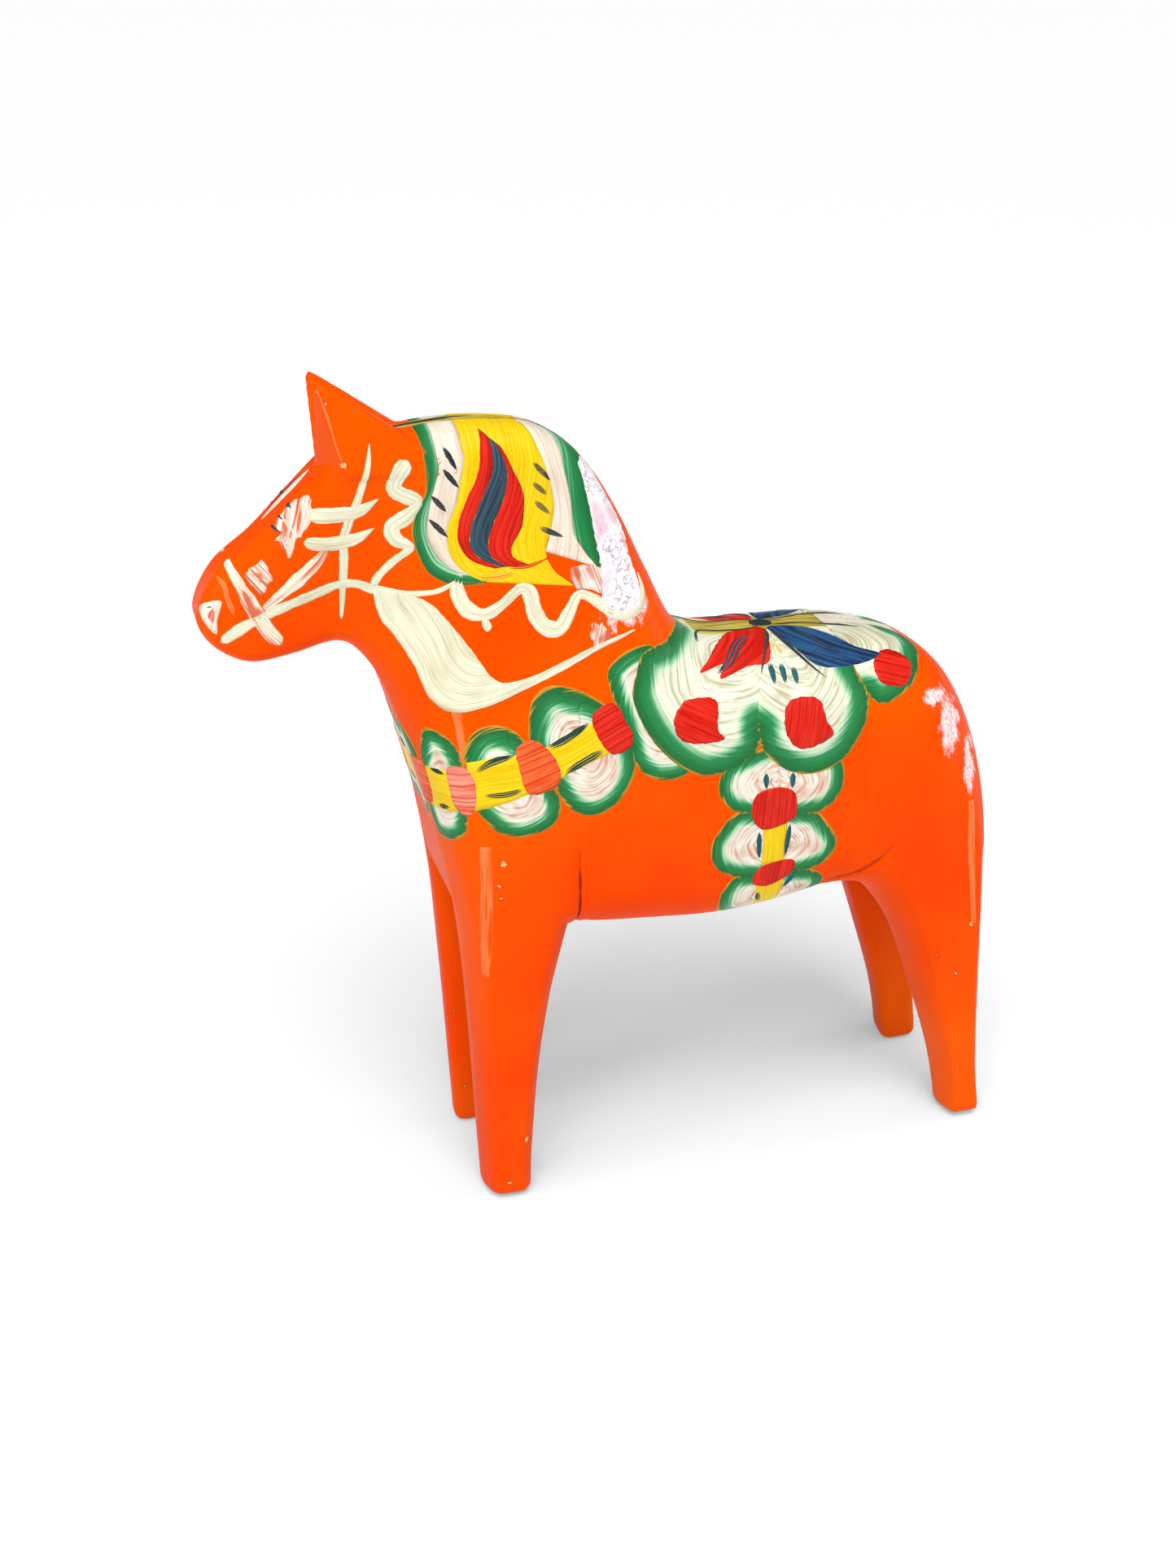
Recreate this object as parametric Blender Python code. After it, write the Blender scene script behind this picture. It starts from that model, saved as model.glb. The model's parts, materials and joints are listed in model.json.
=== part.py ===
"""Carved wooden dala horse, glued up from sawn boards and whittled as one form.

A centre board carries the head, neck and trunk. On each side of it lie three
boards: a foreleg with its shoulder, a flank, and a hind leg with its haunch.
Six wooden dowels run through the centre board into the side boards.
Metres, +Z up. The head points to -X, the horse's left side faces -Y, and the
origin lies on the floor, under the middle of the whole figure.
"""

import math

import bmesh
import bpy

# ---- driving dimensions: the side view ----
LEG_LENGTH = 0.0830        # floor to the lowest line of the belly
TRUNK_DEPTH = 0.0860       # belly to back
TRUNK_LENGTH = 0.1770      # front of the chest to the rump
NECK_RISE = 0.0670         # back to the top of the crest
NECK_LENGTH = 0.0800       # front of the chest to the withers, along the floor
HEAD_REACH = 0.0560        # nose ahead of the chest
HEAD_DEPTH = 0.0455        # crest to the nose, downwards
EAR_HEIGHT = 0.0140        # ear tip above the crest
EAR_LENGTH = 0.0220        # ear base along the head
EAR_ROOT = 0.0120          # root of the ear below the top of the crest
EAR_SET_OUT = 0.0215       # front of the ear ahead of the chest

# ---- driving dimensions: across the horse ----
BODY_WIDTH = 0.0704        # over the haunches
HEAD_WIDTH = 0.0270        # over the cheeks
EAR_SPREAD = 0.0130        # between the two ear tips
EAR_THICKNESS = 0.0090     # one ear at its base

# ---- driving dimensions: legs ----
FORE_FOOT_LENGTH = 0.0150
HIND_FOOT_LENGTH = 0.0125
FOOT_WIDTH = 0.0132
FOOT_EDGE = 0.0015         # rounding of the lower edge of a foot
FORE_LEG_TOP = 0.0320      # length of the foreleg where it meets the belly
HIND_LEG_TOP = 0.0430      # length of the hind leg where it meets the belly
SHOULDER_SET_IN = 0.0070   # front of the chest to the front of the foreleg at the belly
HAUNCH_SET_IN = 0.0020     # rump to the rear of the hind leg at the belly
FOOT_SET_IN = 0.0130       # front of the chest to the front of the fore foot
FOOT_SET_BACK = 0.0020     # rear of the hind foot behind the rump

# ---- driving dimensions: boards and dowels ----
CORE_THICKNESS = 0.0285
GLUE_GAP = 0.0003
FORE_BOARD_LENGTH = 0.0400
HIND_BOARD_LENGTH = 0.0500
DOWEL_DIAMETER = 0.0080
DOWEL_CLEARANCE = 0.0003
DOWEL_BITE = 0.0090        # length of a dowel in each side board

# ---- how finely curved forms are divided ----
RING_POINTS = 24
RINGS_PER_STATION = 2
STOCK = 0.5                # side of a board's rough stock, far larger than the horse

# ---- values that follow from them ----
OVERALL_LENGTH = HEAD_REACH + TRUNK_LENGTH + FOOT_SET_BACK
CHEST_X = HEAD_REACH - OVERALL_LENGTH / 2
RUMP_X = CHEST_X + TRUNK_LENGTH
BELLY_Z = LEG_LENGTH
BACK_Z = BELLY_Z + TRUNK_DEPTH
CREST_Z = BACK_Z + NECK_RISE
WITHERS_X = CHEST_X + NECK_LENGTH
HALF_BODY = BODY_WIDTH / 2
HALF_HEAD = HEAD_WIDTH / 2
CORE_FACE = CORE_THICKNESS / 2
BOARD_FACE = CORE_FACE + GLUE_GAP
FORE_SEAM_X = CHEST_X + FORE_BOARD_LENGTH
HIND_SEAM_X = RUMP_X - HIND_BOARD_LENGTH
DOWEL_RADIUS = DOWEL_DIAMETER / 2
BORE_RADIUS = DOWEL_RADIUS + DOWEL_CLEARANCE
DOWEL_REACH = BOARD_FACE + DOWEL_BITE
BORE_REACH = DOWEL_REACH + DOWEL_CLEARANCE

COLLECTION_NAME = "dala_horse"
CUTTER_COLLECTION_NAME = "carving_guides"


def head(share_out, share_down):
    """Point on the head: shares of its reach before the chest and its depth under the crest."""
    return CHEST_X - share_out * HEAD_REACH, CREST_Z - share_down * HEAD_DEPTH


def neck(share_along, share_up):
    """Point on the neck: shares of the way from chest to withers and from back to crest."""
    return CHEST_X + share_along * NECK_LENGTH, BACK_Z + share_up * NECK_RISE


def trunk(share_along, share_up):
    """Point on the trunk: shares of the way from withers to rump and from belly to back."""
    return WITHERS_X + share_along * (RUMP_X - WITHERS_X), BELLY_Z + share_up * TRUNK_DEPTH


def breast(share_along, share_up):
    """Point on the breast: shares of the way from chest to withers and from belly to back."""
    return CHEST_X + share_along * NECK_LENGTH, BELLY_Z + share_up * TRUNK_DEPTH


def swell(share):
    """Half width between the head's, at share 0, and the body's, at share 1."""
    return HALF_HEAD + share * (HALF_BODY - HALF_HEAD)


# Each section of the body: upper point, lower point, half width, squareness.
BODY_SECTIONS = [
    (head(1.00, 0.93), head(1.00, 1.13), 0.50 * HALF_HEAD, 2.2),
    (head(0.94, 0.75), head(0.94, 1.29), 0.72 * HALF_HEAD, 2.4),
    (head(0.77, 0.55), head(0.78, 1.38), 0.84 * HALF_HEAD, 2.6),
    (head(0.58, 0.36), head(0.58, 1.34), 0.94 * HALF_HEAD, 2.6),
    (head(0.38, 0.16), head(0.37, 1.27), swell(0.00), 2.6),
    (head(0.20, 0.06), head(0.23, 1.31), swell(0.02), 2.5),
    (neck(0.00, 1.00), breast(-0.11, 0.96), swell(0.12), 2.4),
    (neck(0.16, 1.00), breast(-0.05, 0.80), swell(0.24), 2.4),
    (neck(0.32, 0.97), breast(-0.01, 0.64), swell(0.37), 2.4),
    (neck(0.46, 0.91), breast(0.03, 0.50), swell(0.56), 2.5),
    (neck(0.60, 0.78), breast(0.06, 0.34), swell(0.72), 2.7),
    (neck(0.72, 0.57), breast(0.13, 0.19), swell(0.86), 2.9),
    (neck(0.84, 0.31), breast(0.28, 0.11), swell(0.93), 2.8),
    (neck(0.95, 0.08), breast(0.51, 0.06), swell(0.96), 2.6),
    (trunk(0.09, 1.00), breast(0.82, 0.02), swell(0.97), 2.5),
    (trunk(0.25, 1.00), trunk(0.12, 0.00), swell(0.98), 2.5),
    (trunk(0.42, 0.99), trunk(0.35, 0.04), swell(0.99), 2.5),
    (trunk(0.60, 0.96), trunk(0.56, 0.07), swell(1.00), 2.5),
    (trunk(0.75, 0.89), trunk(0.74, 0.09), swell(1.00), 2.5),
    (trunk(0.87, 0.77), trunk(0.88, 0.11), swell(0.93), 2.4),
    (trunk(0.96, 0.60), trunk(0.96, 0.17), swell(0.72), 2.3),
    (trunk(1.00, 0.44), trunk(1.00, 0.28), swell(0.34), 2.2),
]

FORE_FOOT_FRONT = CHEST_X + FOOT_SET_IN
FORE_FOOT_REAR = FORE_FOOT_FRONT + FORE_FOOT_LENGTH
FORE_TOP_FRONT = CHEST_X + SHOULDER_SET_IN
FORE_TOP_REAR = FORE_TOP_FRONT + FORE_LEG_TOP
HIND_FOOT_REAR = RUMP_X + FOOT_SET_BACK
HIND_FOOT_FRONT = HIND_FOOT_REAR - HIND_FOOT_LENGTH
HIND_TOP_REAR = RUMP_X - HAUNCH_SET_IN
HIND_TOP_FRONT = HIND_TOP_REAR - HIND_LEG_TOP
FOOT_OUTER = BOARD_FACE + FOOT_WIDTH
LEG_TOP_OUTER = 0.95 * HALF_BODY
LEG_CORNER = 0.22          # cut corners of a leg, as a share of its thinner side


def between(low, high, share):
    """Value a share of the way from low to high."""
    return low + (high - low) * share


def leg_section(height, share, foot, top, outer_share):
    """Level of a leg: height, front, rear, outer face. Share 0 is the foot and 1 is the belly."""
    front = between(foot[0], top[0], share)
    rear = between(foot[1], top[1], share)
    return height, front, rear, between(FOOT_OUTER, LEG_TOP_OUTER, outer_share)


def leg_sections(foot, top):
    """Levels of one leg, from the floor up into the shoulder or haunch that it grows out of."""
    shoulder_front = between(top[0], top[1], 0.15)
    shoulder_rear = between(top[0], top[1], 0.80)
    shoulder = (shoulder_front, shoulder_rear)
    edge = (foot[0] + FOOT_EDGE, foot[1] - FOOT_EDGE)
    return [
        (0.0, edge[0], edge[1], FOOT_OUTER - FOOT_EDGE),
        leg_section(FOOT_EDGE, 0.00, foot, top, 0.00),
        leg_section(0.25 * LEG_LENGTH, 0.10, foot, top, 0.22),
        leg_section(0.50 * LEG_LENGTH, 0.27, foot, top, 0.46),
        leg_section(0.75 * LEG_LENGTH, 0.50, foot, top, 0.72),
        leg_section(0.93 * LEG_LENGTH, 0.80, foot, top, 0.90),
        leg_section(BELLY_Z + 0.10 * TRUNK_DEPTH, 1.00, foot, top, 1.00),
        leg_section(BELLY_Z + 0.30 * TRUNK_DEPTH, 0.85, foot, top, 0.92),
        (BELLY_Z + 0.55 * TRUNK_DEPTH, *shoulder, between(CORE_FACE, HALF_BODY, 0.60)),
    ]


def collection(name):
    """New collection of this name, linked to the scene."""
    made = bpy.data.collections.new(name)
    bpy.context.scene.collection.children.link(made)
    return made


def finish(name, colour, roughness):
    """Material with one Principled BSDF of this colour and roughness."""
    material = bpy.data.materials.new(name)
    material.use_nodes = True
    shader = material.node_tree.nodes["Principled BSDF"]
    shader.inputs["Base Color"].default_value = (*colour, 1.0)
    shader.inputs["Roughness"].default_value = roughness
    shader.inputs["Metallic"].default_value = 0.0
    return material


def skin_rings(name, rings, home):
    """Closed object through rings of points: quads between rings, and a flat cap at each end."""
    form = bmesh.new()
    rows = [[form.verts.new(point) for point in ring] for ring in rings]
    count = len(rows[0])
    for lower, upper in zip(rows, rows[1:]):
        for i in range(count):
            j = (i + 1) % count
            form.faces.new((lower[i], lower[j], upper[j], upper[i]))
    form.faces.new(rows[0])
    form.faces.new(rows[-1])
    bmesh.ops.recalc_face_normals(form, faces=form.faces)
    bmesh.ops.triangulate(form, faces=form.faces)
    mesh = bpy.data.meshes.new(name)
    form.to_mesh(mesh)
    form.free()
    made = bpy.data.objects.new(name, mesh)
    home.objects.link(made)
    return made


def rounded(value, squareness):
    """Signed power that turns a circle's coordinate into a superellipse's."""
    return math.copysign(abs(value) ** (2 / squareness), value)


def body_ring(upper, lower, half_width, squareness):
    """Superellipse round the line from the upper to the lower point of a section."""
    middle_x, middle_z = (upper[0] + lower[0]) / 2, (upper[1] + lower[1]) / 2
    arm_x, arm_z = (upper[0] - lower[0]) / 2, (upper[1] - lower[1]) / 2
    ring = []
    for i in range(RING_POINTS):
        angle = 2 * math.pi * (i + 0.5) / RING_POINTS
        up = rounded(math.cos(angle), squareness)
        out = rounded(math.sin(angle), squareness)
        ring.append((middle_x + up * arm_x, out * half_width, middle_z + up * arm_z))
    return ring


def through(before, start, end, after, share):
    """Value on the smooth curve from start to end that also heeds their neighbours."""
    drift = (end - before) / 2
    lead = (after - start) / 2
    rise = end - start
    return (start + drift * share + (3 * rise - 2 * drift - lead) * share**2
            + (drift + lead - 2 * rise) * share**3)


def flat(section):
    """Numbers of a section as one list."""
    upper, lower, half_width, squareness = section
    return [*upper, *lower, half_width, squareness]


def body_form(home):
    """Head, neck and trunk: rings on a smooth curve through the sections."""
    rows = [flat(section) for section in BODY_SECTIONS]
    rings = []
    for i in range(len(rows) - 1):
        near = [rows[max(i - 1, 0)], rows[i], rows[i + 1], rows[min(i + 2, len(rows) - 1)]]
        for step in range(RINGS_PER_STATION):
            share = step / RINGS_PER_STATION
            values = [through(*four, share) for four in zip(*near)]
            rings.append(body_ring(values[0:2], values[2:4], values[4], values[5]))
    rings.append(body_ring(rows[-1][0:2], rows[-1][2:4], rows[-1][4], rows[-1][5]))
    return skin_rings("body_form", rings, home)


def leg_form(name, side, sections, home):
    """Leg with cut corners, whose flat inner face lies in the middle of the glue gap."""
    inner = CORE_FACE + GLUE_GAP / 2
    rings = []
    for height, front, rear, outer in sections:
        cut = LEG_CORNER * min(rear - front, outer - inner)
        corners = [
            (front + cut, inner), (front, inner + cut),
            (front, outer - cut), (front + cut, outer),
            (rear - cut, outer), (rear, outer - cut),
            (rear, inner + cut), (rear - cut, inner),
        ]
        rings.append([(x, side * y, height) for x, y in corners])
    return skin_rings(name, rings, home)


def ear_form(name, side, home):
    """Ear: a blunt four-sided horn that leans outwards from the poll."""
    front = CHEST_X - EAR_SET_OUT
    tip_y = EAR_SPREAD / 2
    # Each level: height, share of the ear's length left, share of its thickness left.
    levels = [
        (CREST_Z - EAR_ROOT, 1.00, 1.00),
        (CREST_Z, 0.95, 0.85),
        (CREST_Z + 0.55 * EAR_HEIGHT, 0.45, 0.60),
        (CREST_Z + EAR_HEIGHT, 0.08, 0.25),
    ]
    rings = []
    for height, long_share, thick_share in levels:
        rear = front + long_share * EAR_LENGTH
        thick = thick_share * EAR_THICKNESS
        near, far = side * (tip_y - thick / 2), side * (tip_y + thick / 2)
        bevel = 0.40 * min(thick, rear - front)
        rings.append([
            (front, near, height), (front, far - side * bevel, height),
            (front + bevel, far, height), (rear, far, height), (rear, near, height),
        ])
    return skin_rings(name, rings, home)


def combine(target, other, operation):
    """Boolean modifier on target."""
    modifier = target.modifiers.new(other.name, "BOOLEAN")
    modifier.operation = operation
    modifier.solver = "EXACT"
    modifier.object = other


def guide(made):
    """Marks an object as a guide that only shapes other pieces."""
    made.hide_render = True
    made.display_type = "WIRE"
    return made


def block(name, low, high, home):
    """Box between two corners."""
    bpy.ops.mesh.primitive_cube_add(size=1)
    made = bpy.context.active_object
    made.name = name
    made.data.name = name
    spans = [top - bottom for bottom, top in zip(low, high)]
    centre = [(top + bottom) / 2 for bottom, top in zip(low, high)]
    for vertex in made.data.vertices:
        vertex.co = [c + s * v for c, s, v in zip(centre, spans, vertex.co)]
    move_to(made, home)
    return made


def move_to(made, home):
    """Takes an object out of its collections and into this one."""
    for old in list(made.users_collection):
        old.objects.unlink(made)
    home.objects.link(made)


def rod(name, x, z, radius, half_length, home):
    """Cylinder across the horse, with its middle on the centre plane."""
    bpy.ops.mesh.primitive_cylinder_add(
        vertices=20, radius=radius, depth=2 * half_length,
        location=(x, 0, z), rotation=(math.pi / 2, 0, 0),
    )
    made = bpy.context.active_object
    made.name = name
    made.data.name = name
    move_to(made, home)
    return made


def board(name, low, high, forms, bores, material, home):
    """Board: its rough stock, kept only inside the carved form, and bored for its dowels."""
    made = block(name, low, high, home)
    for form in forms:
        combine(made, form, "INTERSECT")
    for bore in bores:
        combine(made, bore, "DIFFERENCE")
    made.data.materials.append(material)
    return made


def clear_scene():
    """Removes every object of the start scene."""
    for old in list(bpy.data.objects):
        bpy.data.objects.remove(old, do_unlink=True)


def main():
    """Builds the carving guides, the seven boards and the six dowels."""
    clear_scene()
    horse = collection(COLLECTION_NAME)
    guides = collection(CUTTER_COLLECTION_NAME)
    enamel = finish("orange_enamel", (1.0, 0.095, 0.004), 0.25)
    birch = finish("birch_dowel", (0.62, 0.42, 0.22), 0.6)

    carved = guide(body_form(guides))
    fore = leg_sections((FORE_FOOT_FRONT, FORE_FOOT_REAR), (FORE_TOP_FRONT, FORE_TOP_REAR))
    hind = leg_sections((HIND_FOOT_FRONT, HIND_FOOT_REAR), (HIND_TOP_FRONT, HIND_TOP_REAR))
    for side, word in ((-1, "left"), (1, "right")):
        combine(carved, guide(leg_form(f"{word}_foreleg_form", side, fore, guides)), "UNION")
        combine(carved, guide(leg_form(f"{word}_hind_leg_form", side, hind, guides)), "UNION")
        combine(carved, guide(ear_form(f"{word}_ear_form", side, guides)), "UNION")

    fore_dowel_x = between(CHEST_X, FORE_SEAM_X, 0.55)
    hind_dowel_x = between(HIND_SEAM_X, RUMP_X, 0.50)
    flank_dowel_z = between(BELLY_Z, BACK_Z, 0.50)
    dowel_places = {
        "lower_foreleg_dowel": (fore_dowel_x, between(BELLY_Z, BACK_Z, 0.32)),
        "upper_foreleg_dowel": (fore_dowel_x, between(BELLY_Z, BACK_Z, 0.66)),
        "front_flank_dowel": (between(FORE_SEAM_X, HIND_SEAM_X, 0.22), flank_dowel_z),
        "rear_flank_dowel": (between(FORE_SEAM_X, HIND_SEAM_X, 0.78), flank_dowel_z),
        "lower_hind_leg_dowel": (hind_dowel_x, between(BELLY_Z, BACK_Z, 0.32)),
        "upper_hind_leg_dowel": (hind_dowel_x, between(BELLY_Z, BACK_Z, 0.62)),
    }
    bores = {}
    for name, (x, z) in dowel_places.items():
        bores[name] = guide(rod(f"{name}_bore", x, z, BORE_RADIUS, BORE_REACH, guides))
        dowel = rod(name, x, z, DOWEL_RADIUS, DOWEL_REACH, horse)
        dowel.data.materials.append(birch)

    board(
        "centre_board", (-STOCK, -CORE_FACE, -STOCK), (STOCK, CORE_FACE, STOCK),
        [carved], list(bores.values()), enamel, horse,
    )
    spans = {
        "foreleg": (-STOCK, FORE_SEAM_X - GLUE_GAP / 2),
        "flank": (FORE_SEAM_X + GLUE_GAP / 2, HIND_SEAM_X - GLUE_GAP / 2),
        "hind_leg": (HIND_SEAM_X + GLUE_GAP / 2, STOCK),
    }
    for side, word in ((-1, "left"), (1, "right")):
        inner, outer = sorted((side * BOARD_FACE, side * STOCK))
        for piece, (start, end) in spans.items():
            own_bores = [bores[name] for name in bores if piece in name]
            board(
                f"{word}_{piece}_board", (start, inner, -STOCK), (end, outer, STOCK),
                [carved], own_bores, enamel, horse,
            )


main()
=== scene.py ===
"""Folk-craft wooden horse: carved boards under enamel, with hand-brushed harness, mane and saddle.

Sizes below are template millimetres: u runs back from the nose, y runs across (left side negative) and
z runs up from the floor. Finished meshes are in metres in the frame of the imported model.
"""
import json
import logging
import math
from dataclasses import dataclass, field
from enum import Enum

import bmesh
import bpy
import numpy as np
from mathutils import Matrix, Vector

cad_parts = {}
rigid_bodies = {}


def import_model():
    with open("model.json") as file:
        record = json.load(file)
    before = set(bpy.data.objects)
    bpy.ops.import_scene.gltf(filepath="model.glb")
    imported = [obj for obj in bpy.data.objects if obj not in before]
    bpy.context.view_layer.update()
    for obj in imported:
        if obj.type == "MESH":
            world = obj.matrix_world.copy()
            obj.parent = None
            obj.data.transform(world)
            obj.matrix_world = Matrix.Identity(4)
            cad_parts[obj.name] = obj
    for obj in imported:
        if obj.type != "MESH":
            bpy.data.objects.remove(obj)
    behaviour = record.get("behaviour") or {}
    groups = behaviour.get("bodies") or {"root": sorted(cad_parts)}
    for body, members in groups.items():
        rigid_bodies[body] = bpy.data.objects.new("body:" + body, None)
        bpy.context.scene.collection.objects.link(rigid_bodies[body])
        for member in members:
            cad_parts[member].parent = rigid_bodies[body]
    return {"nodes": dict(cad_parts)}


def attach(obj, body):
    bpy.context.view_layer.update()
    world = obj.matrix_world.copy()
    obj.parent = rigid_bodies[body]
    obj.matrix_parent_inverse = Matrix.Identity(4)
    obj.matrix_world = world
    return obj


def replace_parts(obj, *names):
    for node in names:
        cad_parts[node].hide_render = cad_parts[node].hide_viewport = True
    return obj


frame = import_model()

Array = np.ndarray
LOG = logging.getLogger("painted_horse")

MILLIMETRE = 0.001
NOSE_X = -0.1175
CORE_HALF = 14.4
LEG_INNER_FACE = 14.55
FORE_SEAM_U = 96.0
HIND_SEAM_U = 183.0
SEAM_OPENS_U = 95.5       # where the opened seam behind the foreleg runs
FOLD_START = (175.0, 96.5)  # u and z where the hind leg's fold starts
FOLD_RISE = 0.034         # the fold climbs by this times the square of its run
FILM_SINK = 0.25          # how far a film's inner sheet lies in the wood
SEED_STEP = 7.3           # shift of the bristle pattern between marks
GAUGE_BLUR = 0.06         # rounds the gauge surface at each gauge, in decimetres
BATCH = 20000             # places measured at a time, to spare memory


class Side(Enum):
    """The horse's own side, as the sign of y."""

    LEFT = -1.0
    RIGHT = 1.0


class Paint(Enum):
    """The paints on the brush rack; each value names a finish and is part of a piece's name."""

    ENAMEL = "orange_enamel"
    CREAM = "cream"
    IVORY = "ivory"
    WORN = "worn_cream"
    PETAL = "petal"
    BLUSH = "blush_petal"
    GREEN = "green"
    YELLOW = "yellow"
    OLIVE = "olive"
    RED = "red"
    KNOT = "knot"
    CORAL = "coral"
    BLUE = "blue"
    NAVY = "navy"
    LEAF = "dark_leaf"
    INK = "ink"
    TEAL = "teal"
    GREY = "worn_grey"
    # Pale orange: painted highlights along knife edges, and orange streaks in the eye and nostril marks.
    RUBBED = "rubbed_orange"
    # Milky patch: partly worn varnish, partly a painted highlight.
    MILKY = "milky_varnish"


class Grain(Enum):
    """How the bristles ran in a patch of paint."""

    ROUND = "round"
    STRAIGHT = "straight"


# ---------------------------------------------------------------- curve helpers


def through(points: Array, step: float, closed: bool = False) -> Array:
    """Runs a smooth curve through points and spaces it evenly.

    Args:
        points: Guide points, one row each.
        step: Wanted spacing in millimetres.
        closed: Whether the last point joins the first.

    Returns:
        The spaced points; a closed curve doesn't repeat its first point.
    """
    guide = np.asarray(points, float)
    if closed:
        before, start, end, after = (np.roll(guide, k, 0) for k in (1, 0, -1, -2))
    else:
        padded = np.vstack([2 * guide[0] - guide[1], guide, 2 * guide[-1] - guide[-2]])
        before, start, end, after = padded[:-3], padded[1:-2], padded[2:-1], padded[3:]
    t = np.linspace(0, 1, 12, endpoint=False)[:, None, None]
    bend = 2 * before - 5 * start + 4 * end - after
    turn = 3 * start - before - 3 * end + after
    dense = 0.5 * (2 * start + (end - before) * t + bend * t**2 + turn * t**3)
    dense = dense.transpose(1, 0, 2).reshape(-1, guide.shape[1])
    dense = np.vstack([dense, dense[:1] if closed else guide[-1:]])
    travel = np.concatenate([[0], np.cumsum(np.linalg.norm(np.diff(dense, axis=0), axis=1))])
    count = max(int(round(travel[-1] / step)), 3)
    stops = np.linspace(0, travel[-1], count + 1)
    even = np.stack([np.interp(stops, travel, column) for column in dense.T], 1)
    return even[:-1] if closed else even


def soft_max(a: Array, b: Array, blend: float) -> Array:
    """The larger of a and b, rounded over a band of width blend where they are close."""
    near = np.maximum(blend - np.abs(a - b), 0) / blend
    return np.maximum(a, b) + near**2 * blend * 0.25


def soft_min(a: Array, b: Array, blend: float) -> Array:
    """The smaller of a and b, rounded where they are close."""
    return -soft_max(-a, -b, blend)


def unit(vectors: Array) -> Array:
    """Rows scaled to length one."""
    return vectors / np.maximum(np.linalg.norm(vectors, axis=-1, keepdims=True), 1e-9)


# ---------------------------------------------------------------- carved form

TOPLINE = [(0, 190.5), (5.8, 200.4), (16.5, 208.5), (26, 217.5), (36, 226.8), (41.5, 231), (54.5, 233.5),
           (68, 235), (81.5, 234.5), (93.5, 232), (105.5, 223.5), (115, 209), (123.5, 191.5),
           (132.5, 174.5), (143, 169), (162, 168), (182, 167.3), (199.5, 163.8), (213.3, 156.3),
           (222.2, 144.2), (227.4, 127.5), (229, 108)]
THROAT = [(64, 98), (61, 112), (58, 128), (54, 144), (48, 164), (42, 174.8), (35.5, 178.8),
          (24, 176.4), (13, 175), (5.4, 178.4), (0.6, 184)]
BELLY = [(200, 89.5), (186, 90.5), (174, 89.5), (158, 86.4), (139, 85), (116, 87.8), (98, 91)]
HIND_LEG = [(229, 85), (230, 55), (232.5, 22), (234.8, 5), (235.2, -4), (234.5, -10), (224, -10), (222.6, -4),
            (222.4, 3), (219.2, 20), (213.5, 39), (204, 66), (196.5, 80), (187.5, 88.5)]
FORELEG = [(97, 93.5), (94, 84), (90, 68), (86.5, 45), (84.3, 18), (83.8, 3), (83.7, -4), (83, -10),
           (69.6, -10), (68.6, -4), (68.5, 3), (67.5, 25), (66, 60), (64, 90)]
BARREL_OUTLINE = TOPLINE + [(228, 96), (217, 89.5)] + BELLY + [(80, 91), (69, 93)] + THROAT
WHOLE_OUTLINE = TOPLINE + HIND_LEG + BELLY[2:] + FORELEG + THROAT[1:]

# Width gauges: u, z, half width, rounding depth, squareness, flat half width, share of knife facets.
GAUGES = [
    (1, 187, 9.0, 5.0, 2.5, 3, 1), (12, 200, 10.5, 6.0, 2.6, 3, 1), (12, 178, 10.5, 5.5, 2.6, 3, 1),
    (28, 196, 13.5, 8.5, 2.5, 3, .8), (36, 222, 12.5, 8.0, 2.6, 4, .9), (48, 208, 14.0, 10.0, 2.3, 2, .3),
    (40, 180, 13.5, 8.0, 2.4, 3, .6), (60, 230, 13.5, 9.0, 2.3, 2, 0), (86, 230, 13.5, 9.5, 2.3, 2, 0),
    (102, 215, 15.5, 12, 2.3, 2, 0), (72, 200, 18.5, 14, 2.3, 2, 0), (92, 190, 21.5, 16, 2.3, 2, 0),
    (62, 175, 21.0, 14, 2.3, 2, .3), (117, 188, 21.0, 18, 2.2, 2, 0), (62, 150, 27.5, 16, 2.4, 3, .8),
    (82, 140, 33.5, 18, 2.5, 4, .3), (127, 165, 27.5, 22, 2.1, 2, 0), (122, 130, 34.5, 24, 2.3, 2, 0),
    (162, 165, 30.0, 22, 2.1, 2, 0), (162, 125, 35.0, 24, 2.3, 2, 0), (197, 155, 31.5, 22, 2.1, 2, 0),
    (207, 125, 35.3, 22, 2.3, 3, .1), (222, 145, 30.0, 20, 2.2, 2, .3), (228, 110, 34.0, 13, 2.6, 6, 1),
    (142, 90, 33.0, 16, 2.4, 4, .2), (182, 92, 33.5, 14, 2.5, 5, .3), (72, 105, 34.0, 12, 2.8, 8, 1),
    (74, 70, 32.0, 9, 2.8, 14, 1), (74, 30, 29.8, 7.5, 2.8, 14, 1), (75, 0, 28.0, 6.0, 2.8, 14, .7),
    (214, 80, 34.0, 9, 2.8, 12, 1), (224, 40, 32.8, 6.5, 2.8, 16, 1), (228, 0, 30.8, 4.0, 2.8, 19, .7),
]

# Flat cuts that leave an ear: outward direction, and a point on the cut, both as (u, |y|, z).
EAR_CUTS = [((-1, .35, -.13), (33.2, 6, 248.5)), ((.575, 0, .818), (51.5, 6, 237.0)),
            ((0, 1, .2), (41, 12.0, 236)), ((0, -1, .35), (41, 2.5, 236)), ((0, 0, -1), (41, 6, 224))]


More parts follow.
